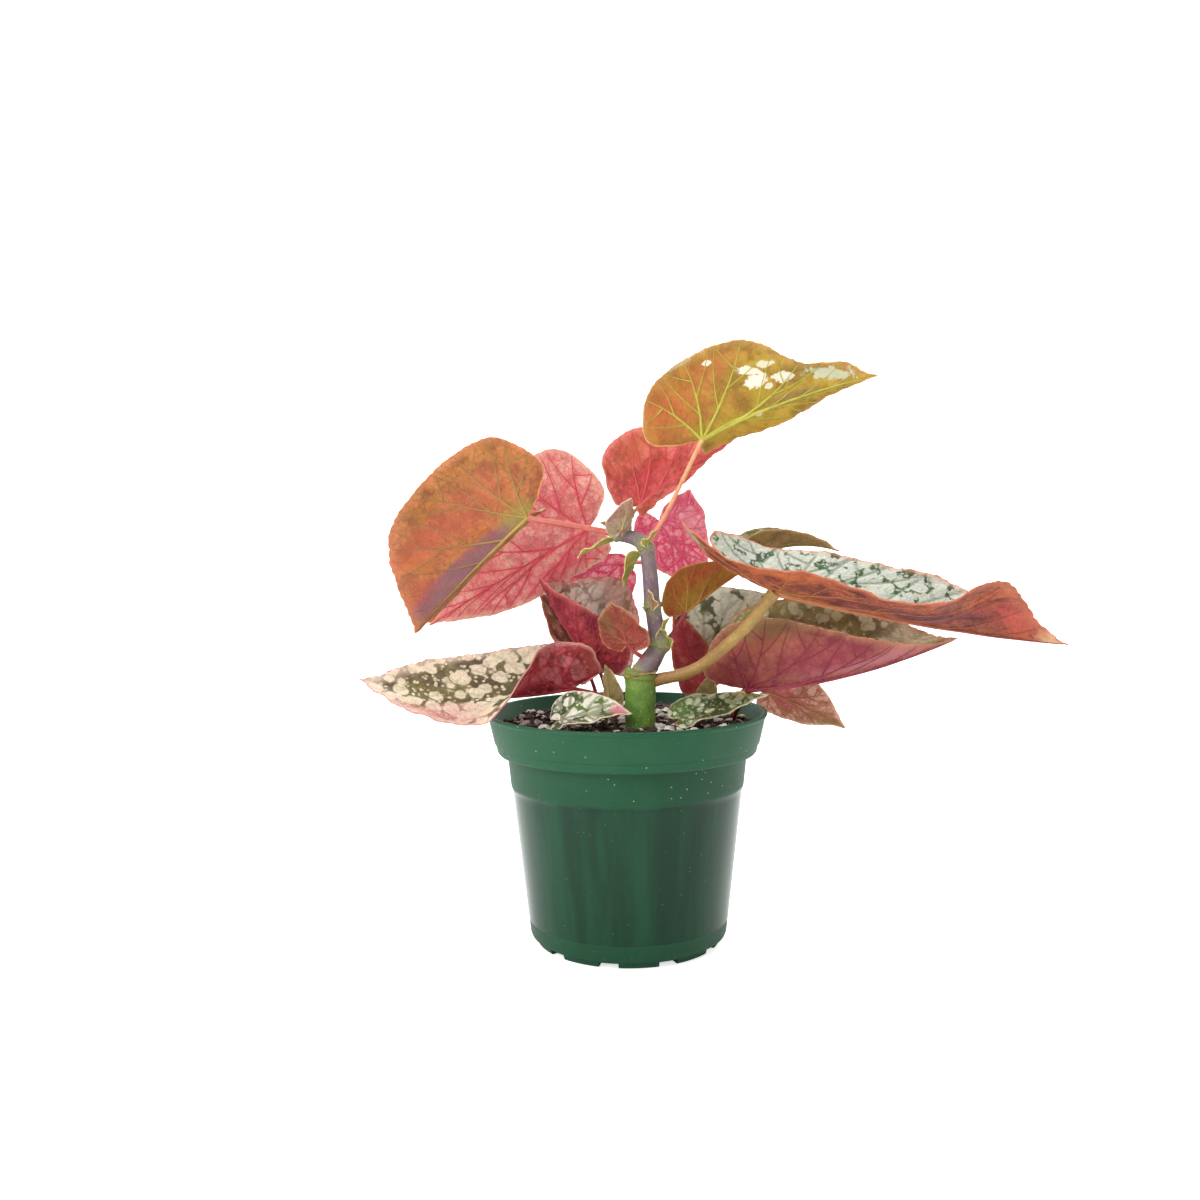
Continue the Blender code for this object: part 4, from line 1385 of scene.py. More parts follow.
    def build(self) -> Piece:
        """The pot with its drain slots.

        Returns:
            The piece.
        """
        profile = np.array(self.outside() + self.inside()) * MM
        pot = turned(profile, self.segments).build("pot_moulded", [self.plastic()], self.sharp)
        first = math.radians(self.notch_turn) - math.pi / 2
        turns = [2 * math.pi * (number + 0.5) / self.notches for number in range(self.notches)]
        cutters = [self.slot_cutter(first + turn) for turn in turns]
        for cutter in cutters:
            cut = pot.modifiers.new("slot", "BOOLEAN")
            cut.operation, cut.solver, cut.object = "DIFFERENCE", "MANIFOLD", cutter
        apply_modifiers(pot)
        for cutter in cutters:
            bpy.data.objects.remove(cutter, do_unlink=True)
        pot.data.shade_smooth()
        pot.data.set_sharp_from_angle(angle=math.radians(self.sharp))
        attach(pot, "root")
        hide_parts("pot")
        return pot


def crumb(size: float, draw: random.Random, rough: float, flat: float = 1.0) -> tuple[Array, Array]:
    """An uneven little lump.

    Args:
        size: How large it is across, in metres.
        draw: Where its shape comes from.
        rough: The share by which its corners are moved.
        flat: How high it is for its width.

    Returns:
        Its points and faces.
    """
    made = bmesh.new()
    bmesh.ops.create_icosphere(made, subdivisions=2 if size > 1.5 * MM else 1, radius=size / 2)
    stretch = (draw.uniform(0.75, 1.25), draw.uniform(0.75, 1.25), flat * draw.uniform(0.7, 1.1))
    shift = [draw.uniform(0, 9) for _ in range(3)]
    points = []
    for vert in made.verts:
        way = vert.co.normalized()
        lump = math.sin(way.x * 4.1 + shift[0]) * math.cos(way.y * 3.7 + shift[1])
        lump += math.sin(way.z * 5.3 + shift[2])
        grown = 1 + rough * (0.5 * lump + draw.uniform(-0.35, 0.35))
        points.append([c * s * grown for c, s in zip(vert.co, stretch)])
    faces = [[v.index for v in face.verts] for face in made.faces]
    made.free()
    spin = Matrix.Rotation(draw.uniform(0, 6.28), 3, "Z") @ Matrix.Rotation(draw.uniform(-0.5, 0.5), 3, "X")
    return np.array(points) @ np.array(spin).T, np.array(faces)


@dataclass
class Soil:
    """The soil bed with its crumbs, perlite, bark and dry scraps. In mm."""

    pot: Pot
    depth: float = 4.6
    lump: float = 1.3
    clear: float = 0.36
    crumbs: int = 1500
    perlite: int = 210
    chips: int = 80
    scraps: int = 70
    reach: float = 47.2
    wall: float = 48.6
    top: float = 48.4
    segments: int = 150
    rings: int = 40
    seed: int = 5

    def height(self, x: Array, y: Array) -> Array:
        """The surface's height, with the broad lumps of the solid under it.

        Args:
            x: The places' x, in metres.
            y: Their y.

        Returns:
            The heights, in metres.
        """
        lumps = (
            np.sin(x * 260 + 1.3) * np.cos(y * 210 + 0.4) + 0.6 * np.sin(x * 520 + y * 430)
            + 0.4 * np.cos(y * 760 - x * 350)
        )
        reach = np.hypot(x, y) / (self.pot.rim * MM)
        small = 0.28 * np.sin(x * 1900 + 3 * np.sin(y * 900)) * np.sin(y * 1700 + 2 * np.sin(x * 1100))
        small += 0.16 * np.sin(x * 4100 + y * 2300) * np.sin(y * 3900 - x * 1300)
        rise = self.lump * 0.5 * lumps - 0.8 * reach ** 4 + small
        return (self.pot.height - self.depth + rise) * MM

    def earth(self, name: str, dark: Colour, light: Colour, rough: float = 0.9) -> Material:
        """A crumbly mineral or woody surface in two tones.

        Args:
            name: What the material is called.
            dark: Its darker tone.
            light: Its lighter tone.
            rough: Its roughness.

        Returns:
            The material.
        """
        made, wiring, shader = begin_material(name)
        place = wiring.place()
        mottle = wiring.effect(Effect.MOTTLE, {"Vector": place, "Scale": 260.0, "Softness": 0.2})
        grain = wiring.effect(Effect.GRAIN, {"Vector": place, "Scale": 1700.0})
        tone = wiring.mix(dark, light, mottle["Patch"])
        shade = wiring.step(grain["Speckle"], 0.0, 1.0, 0.55, 0.0)
        tone = wiring.mix(tone, darkened(dark, 0.55), shade)
        set_surface(wiring, shader, tone, rough, grain["Height"], 0.3 * MM)
        return made

    def bed(self) -> Piece:
        """The closed bed of soil that fills the pot.

        Returns:
            The piece.
        """
        inside = [(max(r - self.clear, 0.0), z + self.clear) for r, z in self.pot.inside()[::-1]]
        low = self.pot.height - self.depth - self.lump * 1.6
        walls = [place for place in inside if place[1] < low] + [(self.wall, low)]
        radii = np.linspace(self.top, 0.0, self.rings)
        profile = np.array(walls + [(radius, 0.0) for radius in radii]) * MM
        parts = turned(profile, self.segments)
        points = np.vstack(parts.points)
        lifted = np.arange(len(points)) >= (len(walls) - 1) * self.segments
        lifted[-2] = False
        points[lifted, 2] = self.height(points[lifted, 0], points[lifted, 1])
        parts.points = [points]
        made = parts.build("soil_bed", [self.earth("soil_crumbly", (46, 32, 27), (84, 60, 48))])
        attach(made, "root")
        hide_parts("soil")
        return made

    def scatter(
        self, name: str, count: int, sizes: tuple[float, float], rough: float, flat: float,
        material: Material, draw: random.Random,
    ) -> Piece:
        """A piece of many lumps lying in the soil's surface.

        Args:
            name: What the piece is called.
            count: How many lumps it has.
            sizes: The smallest and largest across, in mm.
            rough: How uneven they are.
            flat: How high they are for their width.
            material: Their material.
            draw: Where their places come from.

        Returns:
            The piece.
        """
        parts = MeshParts()
        for _ in range(count):
            angle, reach = draw.uniform(0, 2 * math.pi), self.reach * MM * math.sqrt(draw.random())
            size = draw.uniform(*sizes) * draw.uniform(0.6, 1.0) * MM
            x, y = reach * math.cos(angle), reach * math.sin(angle)
            points, faces = crumb(size, draw, rough, flat)
            z = float(self.height(np.array(x), np.array(y))) + size * flat * 0.12
            parts.add(points + (x, y, z), faces, 0)
        made = parts.build(name, [material], 50)
        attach(made, "root")
        return made

    def build(self) -> list[Piece]:
        """The bed and all that lies on it.

        Returns:
            The pieces.
        """
        draw = random.Random(self.seed)
        dark = self.earth("soil_crumbs_dark", (40, 27, 23), (92, 66, 52))
        white = self.earth("perlite_white", (214, 208, 196), (244, 240, 230), 0.8)
        bark = self.earth("bark_brown", (70, 44, 30), (132, 94, 66), 0.75)
        straw = self.earth("scraps_straw", (176, 150, 96), (226, 212, 168), 0.7)
        return [
            self.bed(),
            self.scatter("soil_crumbs", self.crumbs, (0.9, 3.2), 0.4, 0.8, dark, draw),
            self.scatter("perlite", self.perlite, (1.2, 4.8), 0.32, 0.8, white, draw),
            self.scatter("bark_chips", self.chips, (2.0, 5.0), 0.3, 0.3, bark, draw),
            self.scatter("dry_scraps", self.scraps, (1.8, 5.6), 0.35, 0.24, straw, draw),
        ]


@dataclass
class Cane:
    """The cane: a thick green stub and the shoot that zigzags from node to node. In mm."""

    stub: tuple[tuple[float, ...], ...] = (
        (5.0, -15.0, 45.0, 5.7), (5.0, -15.0, 84.0, 5.7), (5.1, -15.0, 93.0, 5.75), (5.2, -15.0, 102.6, 5.8),
        (5.4, -15.0, 104.4, 6.15), (5.5, -15.0, 105.3, 5.9), (5.6, -15.0, 105.8, 4.6),
    )
    shoot: tuple[tuple[float, ...], ...] = (
        (5.0, -15.0, 103.6, 4.2), (8.8, -15.0, 109.0, 4.0), (11.2, -15.0, 113.0, 3.6),
        (12.3, -15.0, 116.2, 4.3), (11.6, -15.0, 119.6, 3.2), (10.3, -15.0, 128.2, 3.0),
        (9.9, -15.0, 130.0, 3.5), (9.7, -15.0, 131.8, 3.0), (9.2, -15.0, 141.0, 2.9),
        (8.4, -14.6, 149.2, 2.8), (7.4, -14.4, 152.4, 3.2), (4.4, -13.8, 154.8, 2.7),
        (-0.6, -12.6, 156.4, 2.6), (-3.6, -12.0, 157.2, 3.1), (-5.8, -11.4, 157.8, 1.5),
    )
    nodes: tuple[Place, ...] = (
        (5.4, -15.0, 104.5), (12.2, -15.0, 116.2), (9.9, -15.0, 130.0), (7.2, -14.4, 152.6),
        (-3.6, -12.0, 157.2),
    )
    # Each scar's middle, radius, lean in degrees and thickness.
    scars: tuple[tuple[Place, float, float, float], ...] = (
        ((5.5, -15.0, 104.9), 6.1, 9.0, 0.75), ((12.2, -15.0, 115.4), 4.35, -6.0, 0.4),
        ((9.9, -15.0, 129.6), 3.5, 4.0, 0.35), ((7.5, -14.4, 151.6), 3.25, -14.0, 0.35),
    )
    sides: int = 40

    def bark(self, name: str, low: Colour, high: Colour, joint: Colour, dash: Colour) -> Material:
        """The cane's skin, greener at its nodes and marked with pale upright dashes.

        Args:
            name: What the material is called.
            low: Its main colour.
            high: The colour mottled into it.
            joint: Its colour at the nodes.
            dash: The colour of the dashes.

        Returns:
            The material.
        """
        made, wiring, shader = begin_material(name)
        flat = wiring.reading("flat", "Vector")
        warm = wiring.reading("warm")
        mottle = wiring.effect(Effect.MOTTLE, {"Vector": flat, "Scale": 0.22, "Softness": 0.18})
        grain = wiring.effect(Effect.GRAIN, {"Vector": flat, "Scale": 1.9})
        drawn = wiring.vector("MULTIPLY", flat, (1.0, 1.0, 0.36))
        cells = wiring.cells(drawn, 0.85)
        dashes = wiring.step(cells["Distance"], 0.1, 0.24, 1.0, 0.0)
        chosen = wiring.add("SeparateColor", {0: cells["Color"]}).outputs[0]
        dashes = wiring.times(dashes, wiring.sum("GREATER_THAN", chosen, 0.42))
        colour = wiring.mix(low, high, mottle["Patch"])
        colour = wiring.mix(colour, joint, wiring.times(warm, 0.75))
        colour = wiring.mix(colour, dash, wiring.times(dashes, 0.75))
        shade = wiring.times(wiring.step(grain["Speckle"], 0.0, 0.6, 1.0, 0.0), 0.35)
        colour = wiring.mix(colour, darkened(low, 0.6), shade)
        rough = wiring.step(grain["Speckle"], 0.0, 1.0, 0.42, 0.62)
        height = wiring.sum("MULTIPLY_ADD", dashes, 0.7, grain["Height"])
        set_surface(wiring, shader, colour, rough, height, 0.2 * MM)
        return made

    def papery(self) -> Material:
        """The brown dead skin of a scar."""
        return LeafFinish("cane_scar").plain_part("ring", (118, 78, 46), (186, 150, 98), 0.6)

    def limb(self, parts: MeshParts, table: tuple, slot: int, seed: float) -> None:
        """Adds one length of cane, with rings at its nodes and a slightly uneven skin.

        Args:
            parts: The mesh that it goes into.
            table: Places up its middle and the radius at each, in mm.
            slot: The material slot of its faces.
            seed: Where its unevenness comes from.
        """
        line = curve_through(np.array(table) * MM, 16)
        path, radii = line[:, :3], line[:, 3].copy()
        near = np.zeros(len(path))
        for node in self.nodes:
            away = np.linalg.norm(path - np.array(node) * MM, axis=1) / MM
            near = np.maximum(near, np.exp(-((away / 2.6) ** 2)))
            radii *= 1 + 0.07 * np.exp(-(((away - 1.2) / 0.55) ** 2))
        points, faces, along = tube(path, radii, self.sides)
        centre = along_tube(path, self.sides)
        turn = 2 * np.pi * (np.arange(len(points)) - 1) / self.sides
        wave = 0.018 * np.sin(3 * turn + along * 21 + seed) + 0.012 * np.sin(8 * turn + along * 57)
        points = centre + (points - centre) * (1 + wave)[:, None]
        near = along_tube(near, self.sides)
        parts.add_mixed(points, faces, slot, flat=points / MM, warm=near, along=along)

    def scar(self, parts: MeshParts, centre: Place, across: float, tilt: float, thick: float) -> None:
        """Adds a ragged papery ring round the cane.

        Args:
            parts: The mesh that it goes into.
            centre: Its middle, in mm.
            across: Its radius, in mm.
            tilt: How far it leans to one side, in degrees.
            thick: How thick it is, in mm.
        """
        turn = np.linspace(0.15, 2 * np.pi - 0.1, 70)
        reach = across + 0.16 * np.sin(5 * turn) + 0.1 * np.sin(13 * turn)
        lean = math.tan(math.radians(tilt))
        rise = reach * np.cos(turn) * lean + 0.22 * np.sin(4 * turn + 1) + 0.1 * np.sin(11 * turn)
        path = np.stack([reach * np.cos(turn), reach * np.sin(turn), rise], axis=1) + centre
        radii = thick / 2 * (1 + 0.4 * np.sin(7 * turn) + 0.25 * np.sin(17 * turn + 2))
        points, faces, along = tube(path * MM, radii * MM, 8)
        parts.add_mixed(points, faces, 2, flat=points / MM, along=np.abs(np.sin(along * 9)))

    def build(self) -> Piece:
        """The whole cane as one piece.

        Returns:
            The piece.
        """
        parts = MeshParts()
        self.limb(parts, self.stub, 0, 0.4)
        self.limb(parts, self.shoot, 1, 1.7)
        for scar in self.scars:
            self.scar(parts, *scar)
        green = ((86, 128, 40), (116, 150, 56), (124, 132, 56), (186, 200, 124))
        purple = ((108, 86, 96), (126, 106, 104), (140, 150, 84), (176, 164, 146))
        stub, shoot = self.bark("cane_stub_green", *green), self.bark("cane_shoot_purple", *purple)
        made = parts.build("cane_grown", [stub, shoot, self.papery()], 50)
        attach(made, "root")
        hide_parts("cane")
        return made


def even(degrees: float) -> tuple[float, ...]:
    """A fold that is the same all along."""
    return (degrees,) * 4


OLIVE_TOP = LeafFinish(
    "leaf_top", green=(96, 118, 70), under=(198, 152, 54), shade=(176, 122, 58), heart=(188, 180, 66),
    vein=(186, 180, 74), edge=(218, 176, 120), stalk=(222, 132, 108), stalk_end=(224, 170, 116),
    pale=(220, 176, 92), cover=0.55, spot=5, net=0.3, glow=0.45,
    tints=(
        Tint(-8, -15, 24, 15, (216, 112, 74), 0.7), Tint(14, -22, 13, 6, (208, 116, 74)),
        # The first tint on the next line is painted shade: a mauve-grey band along the midrib.
        Tint(36, -1, 13, 2.6, (120, 92, 84), soft=0.8), Tint(42, -9, 12, 4, (124, 100, 46), 0.65, 0.9, 14),
        Tint(51, -5, 9, 2.4, (210, 214, 186), 0.9, 0.3, 18, 1.2),
        Tint(4.8, -28.1, 8, 1.2, (214, 214, 186), 0.8, 0.3, 0, 1.2),
        Tint(12.8, -23.6, 1.7, 1.1, (248, 244, 226), 0.95, 0.2),
        Tint(24.7, -15.8, 4.6, 1.5, (248, 246, 230), 0.95, 0.2, 24, 0.8),
        Tint(26, -11.3, 4, 2.6, (250, 246, 230), 1, 0.15, 0, 0.9),
        Tint(30.8, -16, 3, 1.3, (240, 238, 214), 0.9, 0.2, 20, 0.8),
        Tint(29.6, -7.8, 1.6, 1.2, (248, 244, 226), 0.95, 0.2),
        Tint(35.2, -9.2, 4, 2, (246, 242, 224), 0.95, 0.2, 15, 0.9),
        Tint(22.9, 0.5, 1.4, 1, (246, 240, 220), 0.9, 0.2),
    ),
)
RED_TOP = LeafFinish(
    "leaf_top_rear", under=(250, 128, 118), shade=(232, 116, 92), heart=(240, 100, 104),
    vein=(206, 60, 70), edge=(248, 190, 170), stalk=(170, 92, 84), stalk_end=(206, 134, 92),
    pale=(252, 172, 162), cover=0.55, show=0.4, net=0.35, dark=0.35, glow=0.55, stain=0.5,
    tints=(Tint(14, -20, 22, 6, (214, 128, 76)), Tint(10, -6, 18, 7, (206, 48, 66), 0.55)),
)
OLIVE_LEFT = LeafFinish(
    "leaf_left_large", under=(198, 122, 62), shade=(190, 116, 76), heart=(178, 148, 76),
    vein=(148, 92, 70), edge=(232, 156, 120), stalk=(214, 108, 100), stalk_end=(208, 122, 104),
    pale=(236, 166, 108), cover=0.55, show=0.25, net=0.35, dark=0.65, stain=0.5,
    tints=(
        # Painted shade: a purple-grey band over the narrow half where it folds away along the midrib.
        Tint(31, 3, 32, 4.8, (152, 106, 114), 0.9, 0.4, 2, 0.2),
        Tint(48, 8, 13, 4.5, (196, 84, 82), soft=0.8),
        Tint(17, 15, 13, 2.2, (140, 82, 66), 0.55, 0.9, 10, 0.8), Tint(14, 16, 32, 13, (216, 108, 86)),
        Tint(2, 3, 9, 5, (178, 176, 84), 0.55), Tint(36, 20, 18, 8, (206, 96, 74), 0.45),
    ),
)
SALMON = LeafFinish(
    "leaf_left_rear", under=(254, 186, 170), shade=(250, 154, 150), heart=(238, 84, 104),
    vein=(208, 56, 82), edge=(252, 226, 204), stalk=(206, 98, 92), stalk_end=(220, 106, 104),
    pale=(255, 224, 212), cover=0.45, spot=4.5, show=0.4, net=0.42, dark=0.6, glow=0.6, stain=0.25,
    tints=(Tint(18, -8, 24, 5, (242, 80, 118)), Tint(30, 24, 18, 7, (252, 206, 180))),
)
HOT_PINK = LeafFinish(
    "leaf_pink", green=(120, 110, 84), silver=(240, 190, 190), under=(252, 108, 146),
    shade=(248, 84, 126), heart=(252, 128, 160), vein=(216, 44, 88), edge=(248, 196, 176),
    stalk=(220, 110, 104), stalk_end=(238, 90, 116), pale=(255, 206, 216), cover=0.6, spot=3.2, show=0.65,
    net=0.7, dark=0.15, glow=0.6, stain=0.1,
    tints=(Tint(10, -12, 9, 7, (252, 190, 196), 0.55), Tint(30, -4, 8, 6, (220, 160, 112))),
)
RUST = LeafFinish(
    "leaf_right_large", green=(70, 104, 66), silver=(216, 220, 204), under=(178, 80, 58),
    shade=(110, 50, 48), heart=(180, 112, 66), vein=(136, 48, 50), edge=(226, 150, 110),
    stalk=(148, 106, 60), stalk_end=(162, 132, 66), pale=(222, 138, 98), cover=0.92, spot=4.2, show=0.25,
    # This leaf's underside gets dark lengthwise streaks of painted shade in its folds.
    net=0.5, dark=0.5, glow=0.25, keep=0.55, crease_shade=0.75,
    tints=(
        Tint(98, 0, 8, 7, (232, 196, 150), 0.85, 0.7), Tint(40, -26, 34, 5, (190, 82, 58), soft=0.8),
        # The second tint on the next line is painted shade, dark maroon along the curve beside the midrib.
        Tint(-2, -21, 22, 5, (226, 124, 76), 0.7), Tint(50, -8, 34, 7.5, (96, 44, 54), 0.85),
        Tint(20, -11, 24, 3.5, (112, 62, 54), 0.7), Tint(86, -9, 14, 8, (212, 92, 88), 0.6),
        Tint(4, -1, 9, 4, (176, 150, 74), 0.6), Tint(-37, -8, 8, 8, (200, 200, 170), 0.8, 0.5, 0, 0.8),
        # Painted highlight: a pinkish patch near the tip end.
        Tint(80, 8, 16, 5, (224, 104, 84), 0.6),
        Tint(-30, -6, 14, 14, (236, 216, 170), 0.6, 0.8, face=Face.UPPER),
    ),
)
WINE = LeafFinish(
    "leaf_right_lower", green=(156, 150, 88), silver=(222, 220, 182), under=(174, 104, 84),
    shade=(152, 76, 78), heart=(138, 34, 54), vein=(132, 36, 56), edge=(206, 156, 110),
    stalk=(140, 50, 58), stalk_end=(130, 40, 54), pale=(204, 120, 104), spot=4.6, dark=0.4, glow=0.3,
    keep=0.4, wobble=0.25,
    tints=(
        Tint(8, -20, 20, 9, (190, 110, 84), 0.6), Tint(34, -10, 22, 8, (172, 72, 88)),
        Tint(62, -6, 14, 5, (214, 142, 128), 0.6), Tint(-8, -4, 10, 8, (150, 40, 60), 0.6),
        # The second tint on the next line is a painted highlight, pinkish along the edge by the midrib.
        Tint(14, -26, 30, 7, (138, 116, 72), 0.75, 0.8), Tint(45, -3.5, 24, 3, (206, 134, 142), 0.6),
        Tint(66, 10, 16, 10, (216, 214, 182), 0.6, 0.8, face=Face.UPPER),
    ),
)
SPOTTED = LeafFinish(
    "leaf_low_left", green=(112, 112, 58), silver=(255, 243, 210), under=(196, 70, 80),
    shade=(160, 64, 58), heart=(206, 62, 76), vein=(128, 26, 46), edge=(240, 216, 194),
    stalk=(186, 66, 72), stalk_end=(176, 50, 62), pale=(244, 156, 154), cover=0.68, show=0.5, net=0.45,
    dark=0.4, glow=0.3, keep=0.2, wobble=0.3, rim_from=0.86,
    tints=(
        Tint(58, 15, 28, 6, (246, 170, 164), 0.75, face=Face.UPPER),
        Tint(84, 0, 10, 9, (240, 228, 206), 0.9, 0.7, face=Face.UPPER),
        Tint(44, 8, 12, 4, (238, 180, 176), face=Face.UPPER), Tint(20, 8, 14, 5, (216, 84, 96)),
        Tint(-10, 9, 6, 6, (196, 96, 84)),
    ),
)
FOLDED = LeafFinish(
    "leaf_centre_folded", green=(128, 138, 84), silver=(255, 240, 222), under=(190, 68, 78),
    shade=(150, 52, 62), heart=(200, 60, 80), vein=(124, 24, 46), edge=(236, 140, 130),
    stalk=(160, 62, 66), stalk_end=(160, 64, 70), pale=(236, 130, 130), cover=0.93, spot=5.4, net=0.35,
    dark=0.45, glow=0.5, keep=0.6, wobble=0.3, rim_from=0.87,
    tints=(
        Tint(20, 12, 24, 5, (122, 40, 56), 0.45), Tint(20, -18, 20, 6, (214, 92, 96)),
        Tint(12, -30, 14, 6, (250, 180, 172), 0.6, face=Face.UPPER),
        # Painted light: the upper face lightened where it lies in shade.
        Tint(20, -22, 16, 12, (255, 244, 230), 0.3, face=Face.UPPER),
    ),
)
SMALL_RED = LeafFinish(
    "leaf_small_red", green=(112, 106, 60), silver=(232, 196, 178), under=(184, 94, 68),
    shade=(190, 72, 78), heart=(200, 66, 78), vein=(160, 42, 62), edge=(220, 150, 108),
    stalk=(186, 76, 76), stalk_end=(180, 70, 74), pale=(236, 130, 130), spot=3.6, show=0.4, net=0.45,
    dark=0.4, keep=0.5,
)
SMALL_OLIVE = replace(
    SMALL_RED, name="leaf_centre_small", under=(156, 104, 66), shade=(180, 82, 74),
    heart=(170, 96, 66),
    tints=(Tint(8, -6, 9, 4, (134, 122, 66), 0.6), Tint(6, 5, 7, 3, (212, 84, 88))),
)
AUTUMN = LeafFinish(
    "leaf_heart", green=(110, 112, 54), under=(170, 122, 44), shade=(190, 98, 54),
    heart=(176, 126, 48), vein=(170, 80, 46), edge=(186, 120, 60), stalk=(130, 38, 60),
    stalk_end=(160, 56, 62), pale=(186, 134, 60), cover=0.55, show=0.15, net=0.35, dark=0.35,
    tints=(Tint(14, -9, 14, 4, (196, 84, 56)), Tint(4, -3, 8, 5, (188, 168, 62))),
)
SILVERY = LeafFinish(
    "leaf_silver", green=(96, 112, 70), silver=(232, 232, 208), under=(166, 134, 104),
    shade=(156, 108, 86), heart=(146, 144, 90), vein=(136, 128, 84), edge=(216, 212, 184),
    stalk=(160, 86, 74), stalk_end=(160, 128, 84), pale=(222, 218, 194), cover=0.85, show=0.4, glow=0.3,
    keep=0.3, wobble=0.2,
)
OLIVE_SMALL = LeafFinish(
    "leaf_right_small", green=(118, 120, 56), silver=(176, 180, 124), under=(166, 120, 66),
    shade=(140, 84, 60), heart=(120, 112, 54), vein=(120, 110, 58), edge=(196, 176, 128),
    stalk=(176, 112, 70), stalk_end=(150, 110, 64), pale=(176, 150, 100), cover=0.4, spot=4, glow=0.3,
    keep=0.6,
)
YOUNG = LeafFinish(
    "leaf_young_top", green=(140, 146, 104), silver=(206, 200, 176), under=(190, 170, 150),
    shade=(196, 134, 124), heart=(176, 160, 110), vein=(176, 120, 96), edge=(214, 176, 150),
    stalk=(170, 120, 90), stalk_end=(176, 130, 96), pale=(220, 210, 190), cover=0.7, spot=2.4, show=0.4,
    keep=0.5,
)
DARK_SILVER = LeafFinish(
    "leaf_soil_right", green=(84, 112, 48), silver=(216, 222, 180), under=(206, 200, 158),
    shade=(180, 150, 116), heart=(150, 136, 84), vein=(150, 130, 84), edge=(226, 216, 180),
    stalk=(160, 96, 70), stalk_end=(160, 118, 80), pale=(216, 216, 192), cover=0.6, spot=3, show=0.35,
    glow=0.25, keep=0.5,
    tints=(Tint(28, 3, 8, 3, (196, 150, 96), soft=0.8, face=Face.BOTH),),
)
CREAM_SOIL = LeafFinish(
    "leaf_soil_left", green=(92, 118, 50), silver=(255, 250, 232), under=(214, 206, 170),
    shade=(190, 160, 126), heart=(170, 150, 100), vein=(150, 134, 84), edge=(244, 230, 206),
    stalk=(170, 100, 74), stalk_end=(170, 124, 84), pale=(230, 226, 204), cover=0.8, spot=4, show=0.35,
    glow=0.2, keep=0.7, wobble=0.35,
    tints=(Tint(23, 1, 5, 4, (226, 120, 140), 0.8, 0.7, face=Face.BOTH),),
)
CREAM = LeafFinish(
    "leaf_cream", green=(120, 112, 60), silver=(236, 204, 186), under=(226, 160, 142),
    shade=(196, 124, 92), heart=(170, 124, 70), vein=(176, 84, 76), edge=(236, 206, 172),
    stalk=(180, 88, 74), stalk_end=(190, 106, 84), pale=(248, 216, 200), cover=0.65, spot=3.8, show=0.6,
    keep=0.5,
    tints=(Tint(5, 0, 13, 7, (206, 84, 102), 0.65), Tint(29, 2, 13, 5, (140, 120, 70), 0.8, 0.8)),
)
PAPERY = LeafFinish(
    "sheath", green=(196, 186, 132), silver=(222, 210, 164), under=(206, 190, 138),
    shade=(186, 162, 112), heart=(176, 156, 100), vein=(170, 140, 90), edge=(216, 186, 138),
    stalk=(180, 140, 96), stalk_end=(190, 156, 108), pale=(228, 216, 176), net=0.3, dark=0.25, glow=0.5,
)
STIPULE = LeafFinish(
    "stipule", green=(176, 184, 92), silver=(212, 204, 144), under=(190, 188, 98),
    shade=(206, 182, 116), heart=(170, 170, 84), vein=(160, 150, 76), edge=(220, 190, 136),
    stalk=(150, 166, 74), stalk_end=(160, 170, 80), pale=(220, 212, 156), net=0.3, dark=0.2, glow=0.5,
)
TAN_STIPULE = LeafFinish(
    "stipule_dry", green=(200, 172, 128), silver=(224, 208, 176), under=(206, 176, 130),
    shade=(186, 140, 100), heart=(176, 140, 92), vein=(160, 112, 76), edge=(226, 204, 170),
    stalk=(170, 130, 90), stalk_end=(180, 140, 96), pale=(232, 216, 184), net=0.3, dark=0.2, glow=0.5,
)

